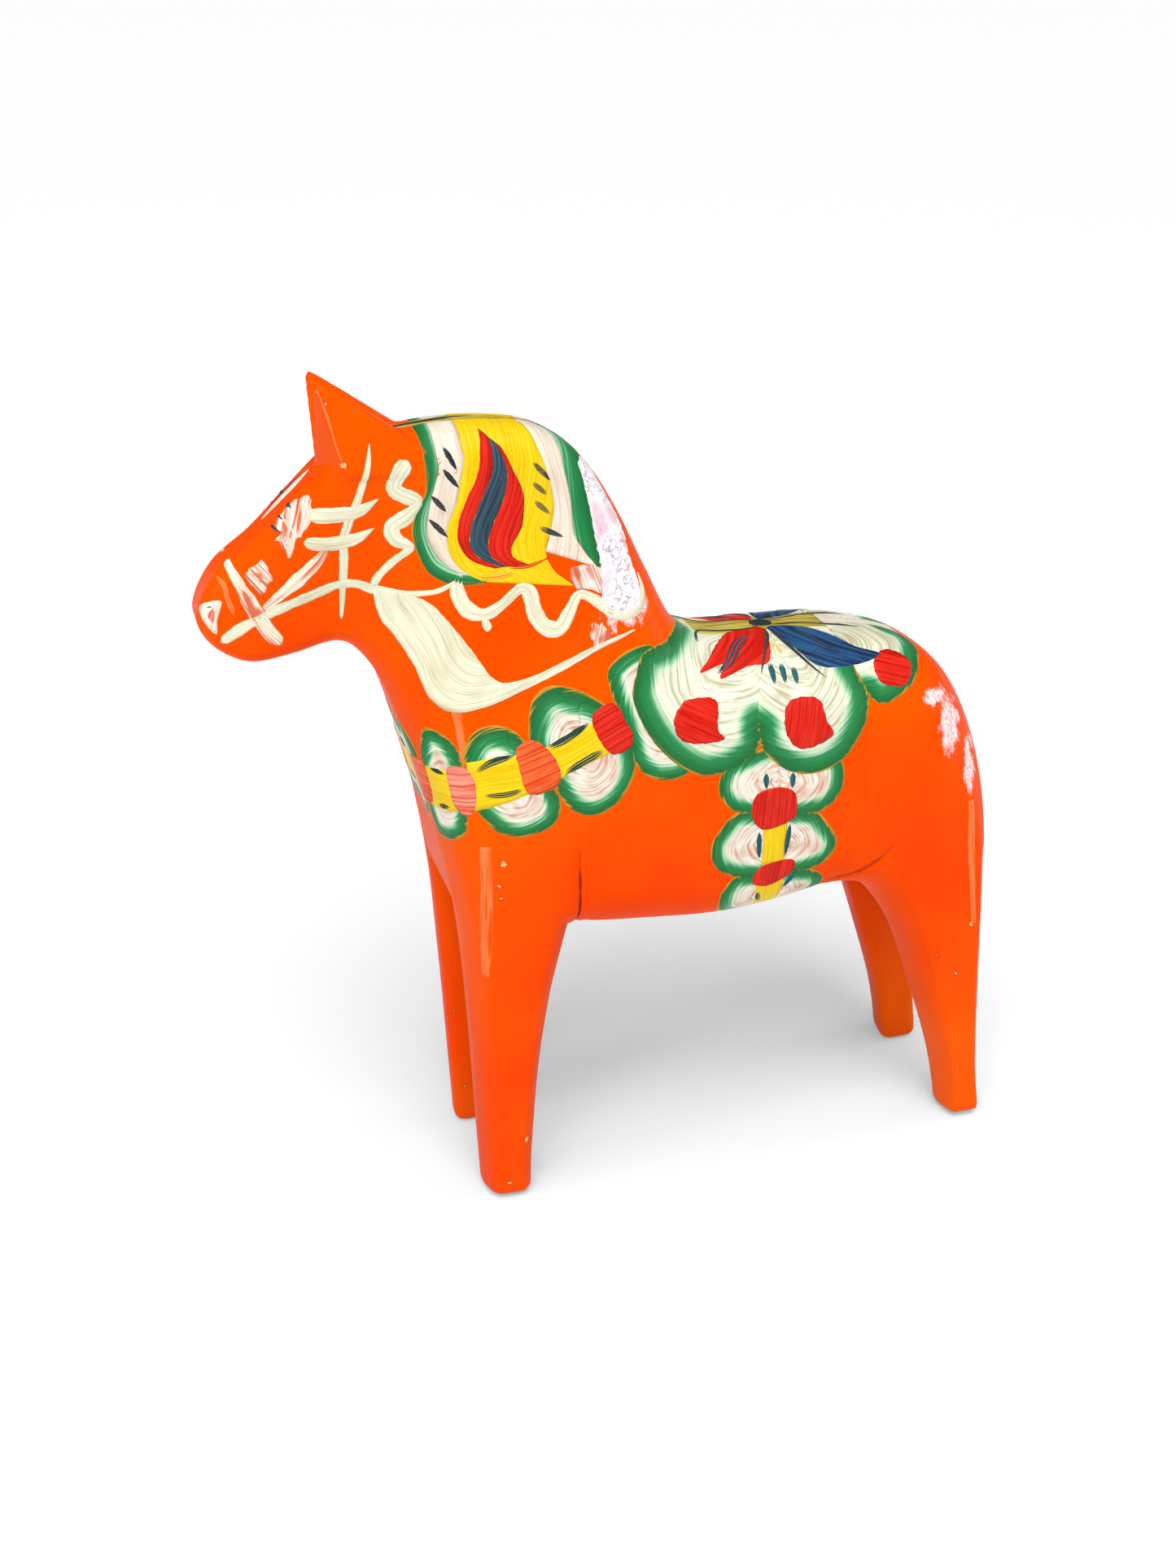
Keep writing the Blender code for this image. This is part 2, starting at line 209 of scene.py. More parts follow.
@dataclass
class CarvedForm:
    """The whole carved outside, as a field that is zero on the wood, negative inside, about true in mm.

    Two side outlines (the barrel alone, and the barrel with legs) give a distance d to the outline. With
    half width w, rounding depth R, squareness p and flat middle y0 from the gauges, the rounded section is
    (((|y| - y0) / (w - y0))^p + max(1 + d / R, 0)^p)^(1/p) = 1. The knife share swaps that curve for
    the flat cuts that touch it. Legs are kept clear of the middle board, and ears are added.
    """

    pitch: float = 0.6
    ear_edge: float = 0.7
    maps: Array = field(init=False)
    u_line: Array = field(init=False)
    z_line: Array = field(init=False)

    def __post_init__(self) -> None:
        """Lays the outline distances and the gauge values out on a side-view grid."""
        self.u_line = np.arange(-12, 248, self.pitch)
        self.z_line = np.arange(-15, 262, self.pitch)
        u, z = np.meshgrid(self.u_line, self.z_line, indexing="ij")
        flat = np.stack([u.ravel(), z.ravel()], -1)
        layers = [self._outline_distance(line, flat) for line in (BARREL_OUTLINE, WHOLE_OUTLINE)]
        layers += list(self._gauge_values(flat).T)
        self.maps = np.stack([layer.reshape(u.shape) for layer in layers])

    @staticmethod
    def _outline_distance(outline: list, at: Array) -> Array:
        """Signed distance to a smooth closed outline, negative inside.

        Args:
            outline: Guide points of the outline, as (u, z).
            at: Places to measure from, one (u, z) row each.

        Returns:
            One distance for each place.
        """
        loop = through(outline, 1.2, closed=True)
        edge = np.roll(loop, -1, 0) - loop
        reach = (edge**2).sum(1) + 1e-12
        out = np.empty(len(at))
        for start in range(0, len(at), BATCH):
            x, y = at[start:start + BATCH, :1], at[start:start + BATCH, 1:]
            dx, dy = x - loop[:, 0], y - loop[:, 1]
            along = np.clip((dx * edge[:, 0] + dy * edge[:, 1]) / reach, 0, 1)
            gap = (dx - along * edge[:, 0])**2 + (dy - along * edge[:, 1])**2
            spans = (loop[:, 1] <= y) != (loop[:, 1] + edge[:, 1] <= y)
            rise = np.where(edge[:, 1] == 0, 1e-12, edge[:, 1])
            inside = (spans & (x < loop[:, 0] + dy / rise * edge[:, 0])).sum(1) % 2 == 1
            out[start:start + BATCH] = np.sqrt(gap.min(1)) * np.where(inside, -1, 1)
        return out

    @staticmethod
    def _gauge_values(at: Array) -> Array:
        """Gauge values between the gauges: a sum of distances to them, plus a tilted plane.

        Args:
            at: Places in the side view, one (u, z) row each.

        Returns:
            Half width, rounding depth, squareness, flat half width and knife share at each place.
        """
        table = np.array(GAUGES, float)
        spots, values = table[:, :2] / 100, table[:, 2:]
        count = len(spots)
        system = np.zeros((count + 3, count + 3))
        system[:count, :count] = np.sqrt(((spots[:, None] - spots)**2).sum(2) + GAUGE_BLUR**2)
        system[:count, count] = system[count, :count] = 1
        system[:count, count + 1:] = spots
        system[count + 1:, :count] = spots.T
        weights = np.linalg.solve(system, np.vstack([values, np.zeros((3, values.shape[1]))]))
        away = np.sqrt(((at[:, None] / 100 - spots)**2).sum(2) + GAUGE_BLUR**2)
        found = away @ weights[:count] + weights[count] + at / 100 @ weights[count + 1:]
        low, high = np.array([5, 2, 2, 0, 0]), np.array([40, 30, 4, 15, 1])
        return np.clip(found, low, high)

    def _look_up(self, u: Array, z: Array) -> Array:
        """All map layers at side-view places, by bilinear blending.

        Args:
            u: Distances back from the nose.
            z: Heights.

        Returns:
            Barrel distance, whole distance and the five gauge values.
        """
        a = np.clip((u - self.u_line[0]) / self.pitch, 0, len(self.u_line) - 1.001)
        b = np.clip((z - self.z_line[0]) / self.pitch, 0, len(self.z_line) - 1.001)
        i, j = a.astype(int), b.astype(int)
        f, g = a - i, b - j
        m = self.maps
        near = m[:, i, j] * (1 - g) + m[:, i, j + 1] * g
        far = m[:, i + 1, j] * (1 - g) + m[:, i + 1, j + 1] * g
        return near * (1 - f) + far * f

    @staticmethod
    def _section(distance: Array, y: Array, gauges: Array, u: Array, z: Array) -> Array:
        """The rounded or knife-cut section for one outline.

        Args:
            distance: Signed distance to the outline in the side view.
            y: Distances across.
            gauges: The five gauge values.
            u: Distances back from the nose.
            z: Heights.

        Returns:
            The section field, zero on the wood.
        """
        width, depth, power, flat, knife = gauges
        side = np.maximum(np.abs(y) - flat, 0) / (width - flat)
        down = np.maximum(1 + distance / depth, 0)
        rounded = (side**power + down**power)**(1 / power)
        dual = power / (power - 1)
        total = 0.0
        for k, lean in enumerate((0.0, 0.52, 1.02, math.pi / 2)):
            wander = 0.06 * np.sin(z / 15 + 2.1 * k + u / 40) if 0 < k < 3 else 0.0
            c, s = np.cos(lean + wander), np.sin(lean + wander)
            touch = (np.abs(c)**dual + np.abs(s)**dual)**(1 / dual)
            total = total + np.maximum((side * c + down * s) / touch, 0)**60
        cut = total**(1 / 60)
        return ((1 - knife) * rounded + knife * cut - 1) * np.minimum(depth, width - flat)

    def _ears(self, u: Array, y: Array, z: Array) -> Array:
        """The two ears, as the soft overlap of their flat cuts.

        Args:
            u: Distances back from the nose.
            y: Distances across.
            z: Heights.

        Returns:
            The ears field, zero on the wood.
        """
        cuts = []
        for direction, spot in EAR_CUTS:
            way = unit(np.array(direction, float))
            cuts.append(u * way[0] + np.abs(y) * way[1] + z * way[2] - way @ np.array(spot, float))
        most = np.maximum.reduce(cuts)
        return most + self.ear_edge * np.log(sum(np.exp((c - most) / self.ear_edge) for c in cuts))

    def at(self, points: Array) -> Array:
        """The field at points given as rows of (u, y, z).

        Args:
            points: Places in template millimetres.

        Returns:
            One value for each place, zero on the wood and negative inside.
        """
        u, y, z = points.T
        barrel, whole, *gauges = self._look_up(u, z)
        body = self._section(barrel, y, gauges, u, z)
        inner = LEG_INNER_FACE + 3.2 * np.clip(1 - z / 60, 0, 1) * np.clip((u - 150) / 20, 0, 1)
        legs = soft_max(self._section(whole, y, gauges, u, z), inner - np.abs(y), 3.0)
        solid = soft_min(np.minimum(body, legs), self._ears(u, y, z), 1.2)
        return soft_max(solid + self._worked_marks(u, y, z), -z, 4.0)

    @staticmethod
    def _worked_marks(u: Array, y: Array, z: Array) -> Array:
        """The opened seam behind the foreleg and the fold where the hind leg leaves the belly.

        Args:
            u: Distances back from the nose.
            y: Distances across.
            z: Heights.

        Returns:
            How far the wood is cut back, in millimetres.
        """
        outer = np.clip((np.abs(y) - 22) / 6, 0, 1)
        seam = np.exp(-((u - SEAM_OPENS_U - 0.02 * (118 - z)) / 0.55)**2) * np.clip((120 - z) / 8, 0, 1)
        fold_line = FOLD_START[1] + FOLD_RISE * np.clip(u - FOLD_START[0], 0, 30)**2
        fold = np.exp(-((z - fold_line) / 1.1)**2)
        fold = fold * np.clip((u - 172) / 6, 0, 1) * np.clip((194 - u) / 7, 0, 1)
        return outer * (0.45 * seam + 0.55 * fold)

    def slope(self, points: Array, reach: float = 0.35) -> Array:
        """The field's gradient, by central differences."""
        steps = np.eye(3) * reach
        return np.stack([(self.at(points + s) - self.at(points - s)) / (2 * reach) for s in steps], -1)

    def settle(self, points: Array, rounds: int = 4, most: float = 3.0) -> Array:
        """Moves points onto the surface, each round by field / slope^2 along the slope."""
        for _ in range(rounds):
            slope = self.slope(points)
            size = np.maximum((slope**2).sum(1), 0.05)
            points = points - np.clip(self.at(points) / size, -most, most)[:, None] * slope
        return points

    def face_y(self, side_view: Array, side: Side) -> Array:
        """The outermost y on one side at places (u, z), found by stepping in from outside.

        Args:
            side_view: Places as (u, z) rows.
            side: The side of the horse.

        Returns:
            The signed y of the wood at each place.
        """
        steps = np.arange(38, 0, -0.5)
        grid = np.stack([self.at(np.stack([side_view[:, 0], np.full(len(side_view), s), side_view[:, 1]], 1))
                         for s in steps])
        hit = np.where((grid < 0).any(0), (grid < 0).argmax(0), np.abs(grid).argmin(0))
        return steps[hit] * side.value

    def skin(self, cell: float) -> tuple[Array, Array]:
        """Meshes the surface with one vertex per grid cell that it passes through.

        Args:
            cell: Grid spacing in millimetres.

        Returns:
            Vertices settled on the surface, and quads that face outward.
        """
        us, ys, zs = np.arange(-3.3, 239, cell), np.arange(-39.05, 39.1, cell), np.arange(-2.7, 254, cell)
        u, z = (a.ravel() for a in np.meshgrid(us, zs, indexing="ij"))
        layers = [self.at(np.stack([u, np.full(len(u), y), z], 1)).reshape(len(us), len(zs)) for y in ys]
        value = np.stack(layers, 1)
        inside = value < 0
        shape = tuple(n - 1 for n in value.shape)
        total, hits = np.zeros(shape + (3,)), np.zeros(shape)

        def corner(offset: tuple) -> tuple:
            """Slices of the grid moved by offset, as wide as the cells."""
            return tuple(slice(o, n + o) for o, n in zip(offset, shape))

        for offset in np.ndindex(2, 2, 2):
            for axis in (k for k in range(3) if offset[k] == 0):
                other = tuple(1 if k == axis else o for k, o in enumerate(offset))
                a, b = value[corner(offset)], value[corner(other)]
                crosses = (a < 0) != (b < 0)
                along = np.where(crosses, a / np.where(a == b, 1, a - b), 0)
                for k in range(3):
                    total[..., k] += (offset[k] + (along if k == axis else 0)) * crosses
                hits += crosses
        active = hits > 0
        index = np.full(shape, -1)
        index[active] = np.arange(active.sum())
        place = np.argwhere(active) + total[active] / hits[active][:, None]
        vertices = np.array([us[0], ys[0], zs[0]]) + place * cell
        faces = []
        for axis in range(3):
            low, high = [slice(1, -1)] * 3, [slice(1, -1)] * 3
            low[axis], high[axis] = slice(0, -1), slice(1, None)
            a, b = inside[tuple(low)], inside[tuple(high)]
            edges = np.argwhere(a != b)
            p, q = (k for k in range(3) if k != axis)
            edges[:, [p, q]] += 1
            quad = []
            for dp, dq in ((0, 0), (1, 0), (1, 1), (0, 1)):
                cells = edges.copy()
                cells[:, p] -= dp
                cells[:, q] -= dq
                quad.append(index[tuple(cells.T)])
            quad = np.stack(quad, 1)
            keep = a[a != b] if axis != 1 else ~a[a != b]
            quad[~keep] = quad[~keep][:, ::-1]
            faces.append(quad)
        vertices = self.settle(vertices, 2, 1.5)
        vertices[:, 2] = np.maximum(vertices[:, 2], 0)
        return vertices, np.vstack(faces)


# ---------------------------------------------------------------- mesh helpers


def to_frame(points: Array) -> Array:
    """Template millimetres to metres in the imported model's frame."""
    return points * MILLIMETRE + np.array([NOSE_X, 0, 0])


def new_piece(name: str, vertices: Array, faces: list) -> bpy.types.Object:
    """A smooth-shaded mesh object at the origin, from metres and faces.

    Args:
        name: Name of the object and its mesh.
        vertices: Places in metres.
        faces: Vertex numbers of each face.

    Returns:
        The object, linked to the scene.
    """
    mesh = bpy.data.meshes.new(name)
    mesh.from_pydata(vertices, [], faces)
    mesh.validate()
    mesh.shade_smooth()
    piece = bpy.data.objects.new(name, mesh)
    bpy.context.scene.collection.objects.link(piece)
    return piece


# ---------------------------------------------------------------- painted marks


@dataclass
class Relief:
    """A film of paint: an outer sheet on the wood, an inner sheet just inside it and the edge between."""

    vertices: Array
    faces: list
    brush: Array
    load: Array


@dataclass
class Mark:
    """Shared ground for strokes, bands and patches.

    points are (u, z) or (u, z, |y|) guides; a missing y is found on the side face.
    """

    paint: Paint
    points: list
    lift: float = 0.12

    def guides(self, form: CarvedForm, side: Side, points: list) -> Array:
        """Guide points as (u, y, z) on one side of the horse.

        Args:
            form: The carved form.
            side: The side of the horse.
            points: Guides as (u, z) or (u, z, |y|).

        Returns:
            One (u, y, z) row for each guide.
        """
        flat = np.array([p[:2] for p in points], float)
        y = form.face_y(flat, side)
        given = np.array([p[2] if len(p) > 2 else np.nan for p in points])
        y = np.where(np.isnan(given), y, given * side.value)
        return np.stack([flat[:, 0], y, flat[:, 1]], 1)

    def thickness(self, from_edge: Array) -> Array:
        """Height of the paint, a tenth of a millimetre lower at its edge."""
        edge = max(self.lift - 0.10, 0.3 * self.lift)
        return edge + (self.lift - edge) * np.minimum(1, 1.6 * from_edge)

    @staticmethod
    def film(form: CarvedForm, sheet: Array, lift: Array, brush: Array, load: Array, ring: bool) -> Relief:
        """Closes a grid of points into a thin solid.

        Args:
            form: The carved form that the paint lies on.
            sheet: Grid of points near the surface, rows by columns.
            lift: Height of the outer sheet over the wood at each grid point.
            brush: Along-bristle and across-bristle distance at each grid point.
            load: Distance from the wet edge at each grid point.
            ring: Whether the rows close on themselves and the last column meets at one spot.

        Returns:
            The film, in template millimetres.
        """
        rows, columns = sheet.shape[:2]
        on_wood = form.settle(sheet.reshape(-1, 3))
        away = unit(form.slope(on_wood, 0.6))
        outer = on_wood + away * lift.reshape(-1, 1)
        inner = on_wood - away * FILM_SINK
        index = np.arange(rows * columns).reshape(rows, columns)
        ahead = np.roll(index, -1, 0) if ring else index[1:]
        here = index if ring else index[:-1]
        quads = np.stack([here[:, :-1], here[:, 1:], ahead[:, 1:], ahead[:, :-1]], -1).reshape(-1, 4)
        total = rows * columns
        faces = [quads, quads[:, ::-1] + total]
        rim = index[:, 0]
        if not ring:
            rim = np.concatenate([rim, index[-1, 1:], index[-2::-1, -1], index[0, -2:0:-1]])
        faces.append(np.stack([rim, np.roll(rim, -1), np.roll(rim, -1) + total, rim + total], -1))
        vertices = np.vstack([outer, inner])
        brush, load = np.vstack([brush.reshape(-1, 2)] * 2), np.concatenate([load.ravel()] * 2)
        listed = [tuple(f) for f in np.vstack(faces).tolist()]
        if ring:
            middle = index[:, -1]
            for offset, turn in ((0, 1), (total, -1)):
                hub = len(vertices)
                vertices = np.vstack([vertices, vertices[middle + offset].mean(0)])
                brush = np.vstack([brush, brush[middle + offset].mean(0)])
                load = np.append(load, load[middle + offset].mean())
                fan = np.stack([middle + offset, np.full(rows, hub), np.roll(middle, -1) + offset], -1)
                listed += [tuple(f) for f in fan[:, ::turn].tolist()]
        relief = Relief(vertices, listed, brush, load)
        first = np.array(listed[0])
        a, b, c = vertices[first[0]], vertices[first[1]], vertices[first[2]]
        if np.cross(b - a, c - a) @ away[first[0]] < 0:
            relief.faces = [f[::-1] for f in listed]
        return relief


@dataclass
class Stroke(Mark):
    """One pull of a round brush along a path.

    widths are full widths in millimetres, spread evenly along the path. The section is a low loaf with
    raised lips where the paint was pushed aside: height = lift * (0.75 + 0.25 cos(3 pi s)) for s across.
    """

    widths: tuple = (1.5,)

    def lay(self, form: CarvedForm, side: Side, seed: float) -> Relief:
        """Lays the stroke on the wood.

        Args:
            form: The carved form that the paint lies on.
            side: The side of the horse.
            seed: Shifts the bristle pattern, so that no two marks are alike.

        Returns:
            The film, in template millimetres.
        """
        path = through(self.guides(form, side, self.points), 0.9)
        path = form.settle(path)
        way = unit(np.gradient(path, axis=0))
        across = unit(np.cross(form.slope(path, 0.6), way))
        share = np.linspace(0, 1, len(path))
        widths = np.atleast_1d(self.widths)
        width = np.interp(share, np.linspace(0, 1, len(widths)), widths)
        wobble = 1 + 0.05 * np.sin(share * len(path) * 0.9 + seed) + 0.03 * np.sin(share * len(path) * 2.3)
        ends = np.sqrt(np.clip(1 - (2 * np.abs(share - 0.5))**(len(path) * 0.55), 0.0, 1))
        width = width * wobble * np.maximum(ends, 0.12)
        lanes = np.linspace(-0.5, 0.5, 7)
        sheet = path[:, None] + across[:, None] * (width[:, None] * lanes)[..., None]
        ridge = 0.75 + 0.25 * np.cos(3 * np.pi * 2 * lanes)
        body = np.where(np.abs(lanes) > 0.49, 0.12, ridge)
        tail = np.minimum(1, 0.35 + 3 * np.minimum(share, 1 - share))
        lift = self.lift * body[None] * tail[:, None]
        travel = np.concatenate([[0], np.cumsum(np.linalg.norm(np.diff(path, axis=0), axis=1))])
        brush = np.stack([travel[:, None] + np.zeros(7), width[:, None] * lanes], -1) + seed * SEED_STEP
        load = (0.5 - np.abs(lanes))[None] * width[:, None]
        return self.film(form, sheet, lift, brush, load, ring=False)


@dataclass
class Band(Mark):
    """Paint filled between two lines; points is the first line and far the second."""

    far: list = field(default_factory=list)
    across: bool = False
    heavy: float = 0.0

    def lay(self, form: CarvedForm, side: Side, seed: float) -> Relief:
        """Lays the band on the wood; each row of the grid joins the two lines.

        Args:
            form: The carved form that the paint lies on.
            side: The side of the horse.
            seed: Shifts the bristle pattern, so that no two marks are alike.

        Returns:
            The film, in template millimetres.
        """
        first = through(self.guides(form, side, self.points), 0.5)
        second = through(self.guides(form, side, self.far), 0.5)
        rows = max(int(max(len(first), len(second)) / 2.4), 4)

        def spread(line: Array) -> Array:
            """The line with as many points as the grid has rows."""
            stops = np.linspace(0, len(line) - 1, rows)
            return np.stack([np.interp(stops, np.arange(len(line)), c) for c in line.T], 1)

        first, second = spread(first), spread(second)
        gap = np.linalg.norm(second - first, axis=1)
        columns = max(int(gap.max() / 1.1), 4)
        share = np.linspace(0, 1, columns)
        ragged = 0.07 * np.sin(np.arange(rows) * 1.3 + seed) + 0.05 * np.sin(np.arange(rows) * 2.9)
        sheet = first[:, None] * (1 - share)[:, None] + second[:, None] * share[:, None]
        edge_pull = np.where(np.minimum(share, 1 - share) < 0.02, 1.0, 0.0)
        sheet = sheet + unit(second - first)[:, None] * (edge_pull * ragged[:, None])[..., None]
        travel = np.concatenate([[0], np.cumsum(np.linalg.norm(np.diff(first, axis=0), axis=1))])
        run, width = travel[:, None] + np.zeros(columns), gap[:, None] * share
        brush = np.stack([width, run] if self.across else [run, width], -1) + seed * SEED_STEP
        near_edge = np.minimum(width, gap[:, None] * (1 - share))
        return self.film(form, sheet, self.thickness(near_edge), brush, width / (1 + self.heavy), ring=False)


@dataclass
class Patch(Mark):
    """Paint filled inside a closed rim, shrinking towards a focus.

    ROUND bristles run round the crown, which is the focus unless given. STRAIGHT ones run at lean radians in
    the side view. The film's load is the true distance from the rim, so a brush loaded with two colours
    leaves an even border. bare lists boxes (u from, to, z from, to) where the rim has no border. heavy
    thickens the border at the top.
    """

    focus: tuple = ()
    grain: Grain = Grain.ROUND
    lean: float = 0.0
    rough: float = 0.03
    bare: tuple = ()
    heavy: float = 0.0
    crown: tuple = ()

    def lay(self, form: CarvedForm, side: Side, seed: float) -> Relief:
        """Lays the patch on the wood as rings from the rim in to the focus.

        Args:
            form: The carved form that the paint lies on.
            side: The side of the horse.
            seed: Shifts the bristle pattern, so that no two marks are alike.

        Returns:
            The film, in template millimetres.
        """
        rim = form.settle(through(self.guides(form, side, self.points), 0.9, closed=True))
        turn = np.arange(len(rim))
        focus = rim.mean(0) if not self.focus else self.guides(form, side, [self.focus])[0]
        jitter = self.rough * (np.sin(turn * 1.7 + seed) + 0.6 * np.sin(turn * 3.1 + 2 * seed))
        rim = rim + unit(rim - focus) * jitter[:, None]
        reach = np.linalg.norm(rim - focus, axis=1)
        rings = max(int(reach.max() / 1.1), 4)
        share = np.linspace(0, 0.96, rings)**1.1
        sheet = rim[:, None] * (1 - share)[:, None] + focus * share[:, None]
        sheet = form.settle(sheet.reshape(-1, 3)).reshape(sheet.shape)
        rim_on = form.settle(rim)
        reached = np.linalg.norm(sheet.reshape(-1, 1, 3) - rim_on, axis=2)
        from_edge = reached.min(1).reshape(sheet.shape[:2])
        wet = np.ones(len(rim_on), bool)
        for low_u, high_u, low_z, high_z in self.bare:
            boxed = (rim_on[:, 0] > low_u) & (rim_on[:, 0] < high_u)
            wet &= ~(boxed & (rim_on[:, 2] > low_z) & (rim_on[:, 2] < high_z))
        load = reached[:, wet].min(1).reshape(sheet.shape[:2])
        rise = (sheet[..., 2] - focus[2]) / max(rim[:, 2].max() - focus[2], 1)
        load = load / (1 + self.heavy * np.clip(rise, 0, 1))
        if self.grain is Grain.ROUND:
            crown = self.guides(form, side, [self.crown])[0] if self.crown else focus
            arcs = np.linalg.norm(sheet - crown, axis=2)
            turned = np.arctan2(sheet[..., 0] - crown[0], crown[2] - sheet[..., 2])
            brush = np.stack([20 * turned, 0.7 * arcs - 0.3 * from_edge], -1)
        else:
            c, s = math.cos(self.lean), math.sin(self.lean)
            du, dz = sheet[..., 0] - focus[0], sheet[..., 2] - focus[2]
            brush = np.stack([du * c + dz * s, dz * c - du * s], -1)
        return self.film(form, sheet, self.thickness(from_edge), brush + seed * SEED_STEP, load, ring=True)


@dataclass
class Dab(Patch):
    """A patch filled with straight pulls of the brush."""

    grain: Grain = Grain.STRAIGHT


@dataclass
class PaintedPanel:
    """A group of marks painted together; a subclass lists them for one side, and for the middle."""

    name: str = "panel"

    def side_marks(self) -> list[Mark]:
        """Marks that both sides carry."""
        return []

    def middle_marks(self) -> list[Mark]:
        """Marks that cross the middle line, given with signed y for the left side."""
        return []

    def left_marks(self) -> list[Mark]:
        """Marks of wear that only the left side carries."""
        return []

    def build(self, form: CarvedForm, finishes: dict) -> None:
        """Lays all marks and joins those of one paint on one side into a piece.

        Args:
            form: The carved form that the paint lies on.
            finishes: The finish for each paint.
        """
        groups = [(side, side.name.lower(), self.side_marks()) for side in Side]
        groups.append((Side.LEFT, "middle", self.middle_marks()))
        groups.append((Side.LEFT, "left_only", self.left_marks()))
        for side, label, marks in groups:
            for paint in Paint:
                chosen = [(k, m) for k, m in enumerate(marks) if m.paint is paint]
                if not chosen:
                    continue
                shift = 0.0 if side is Side.LEFT else 1.7
                reliefs = [m.lay(form, side, 1.0 + 0.61 * k + shift) for k, m in chosen]
                name = f"{self.name}_{label}_{paint.value}"
                self._join(name, reliefs, finishes[paint])

    @staticmethod
    def _join(name: str, reliefs: list[Relief], finish: "Finish") -> None:
        """Makes one piece from several films, with their brush and load layers.

        Args:
            name: Name of the piece.
            reliefs: The films to join.
            finish: The paint they are made of.
        """
        starts = np.cumsum([0] + [len(r.vertices) for r in reliefs[:-1]])
        vertices = np.vstack([r.vertices for r in reliefs])
        faces = [tuple(i + int(s) for i in f) for r, s in zip(reliefs, starts) for f in r.faces]
        piece = new_piece(name, to_frame(vertices), faces)
        mesh = piece.data
        corners = np.empty(len(mesh.loops), np.int32)
        mesh.loops.foreach_get("vertex_index", corners)
        brush = np.vstack([r.brush for r in reliefs]) / 100
        layer = mesh.uv_layers.new(name="brush")
        layer.data.foreach_set("uv", brush[corners].astype(np.float32).ravel())
        load = mesh.attributes.new("load", "FLOAT", "POINT")
        load.data.foreach_set("value", np.concatenate([r.load for r in reliefs]).astype(np.float32))
        mesh.materials.append(finish.material())
        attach(piece, "root")
        LOG.info("%s: %d vertices", name, len(vertices))


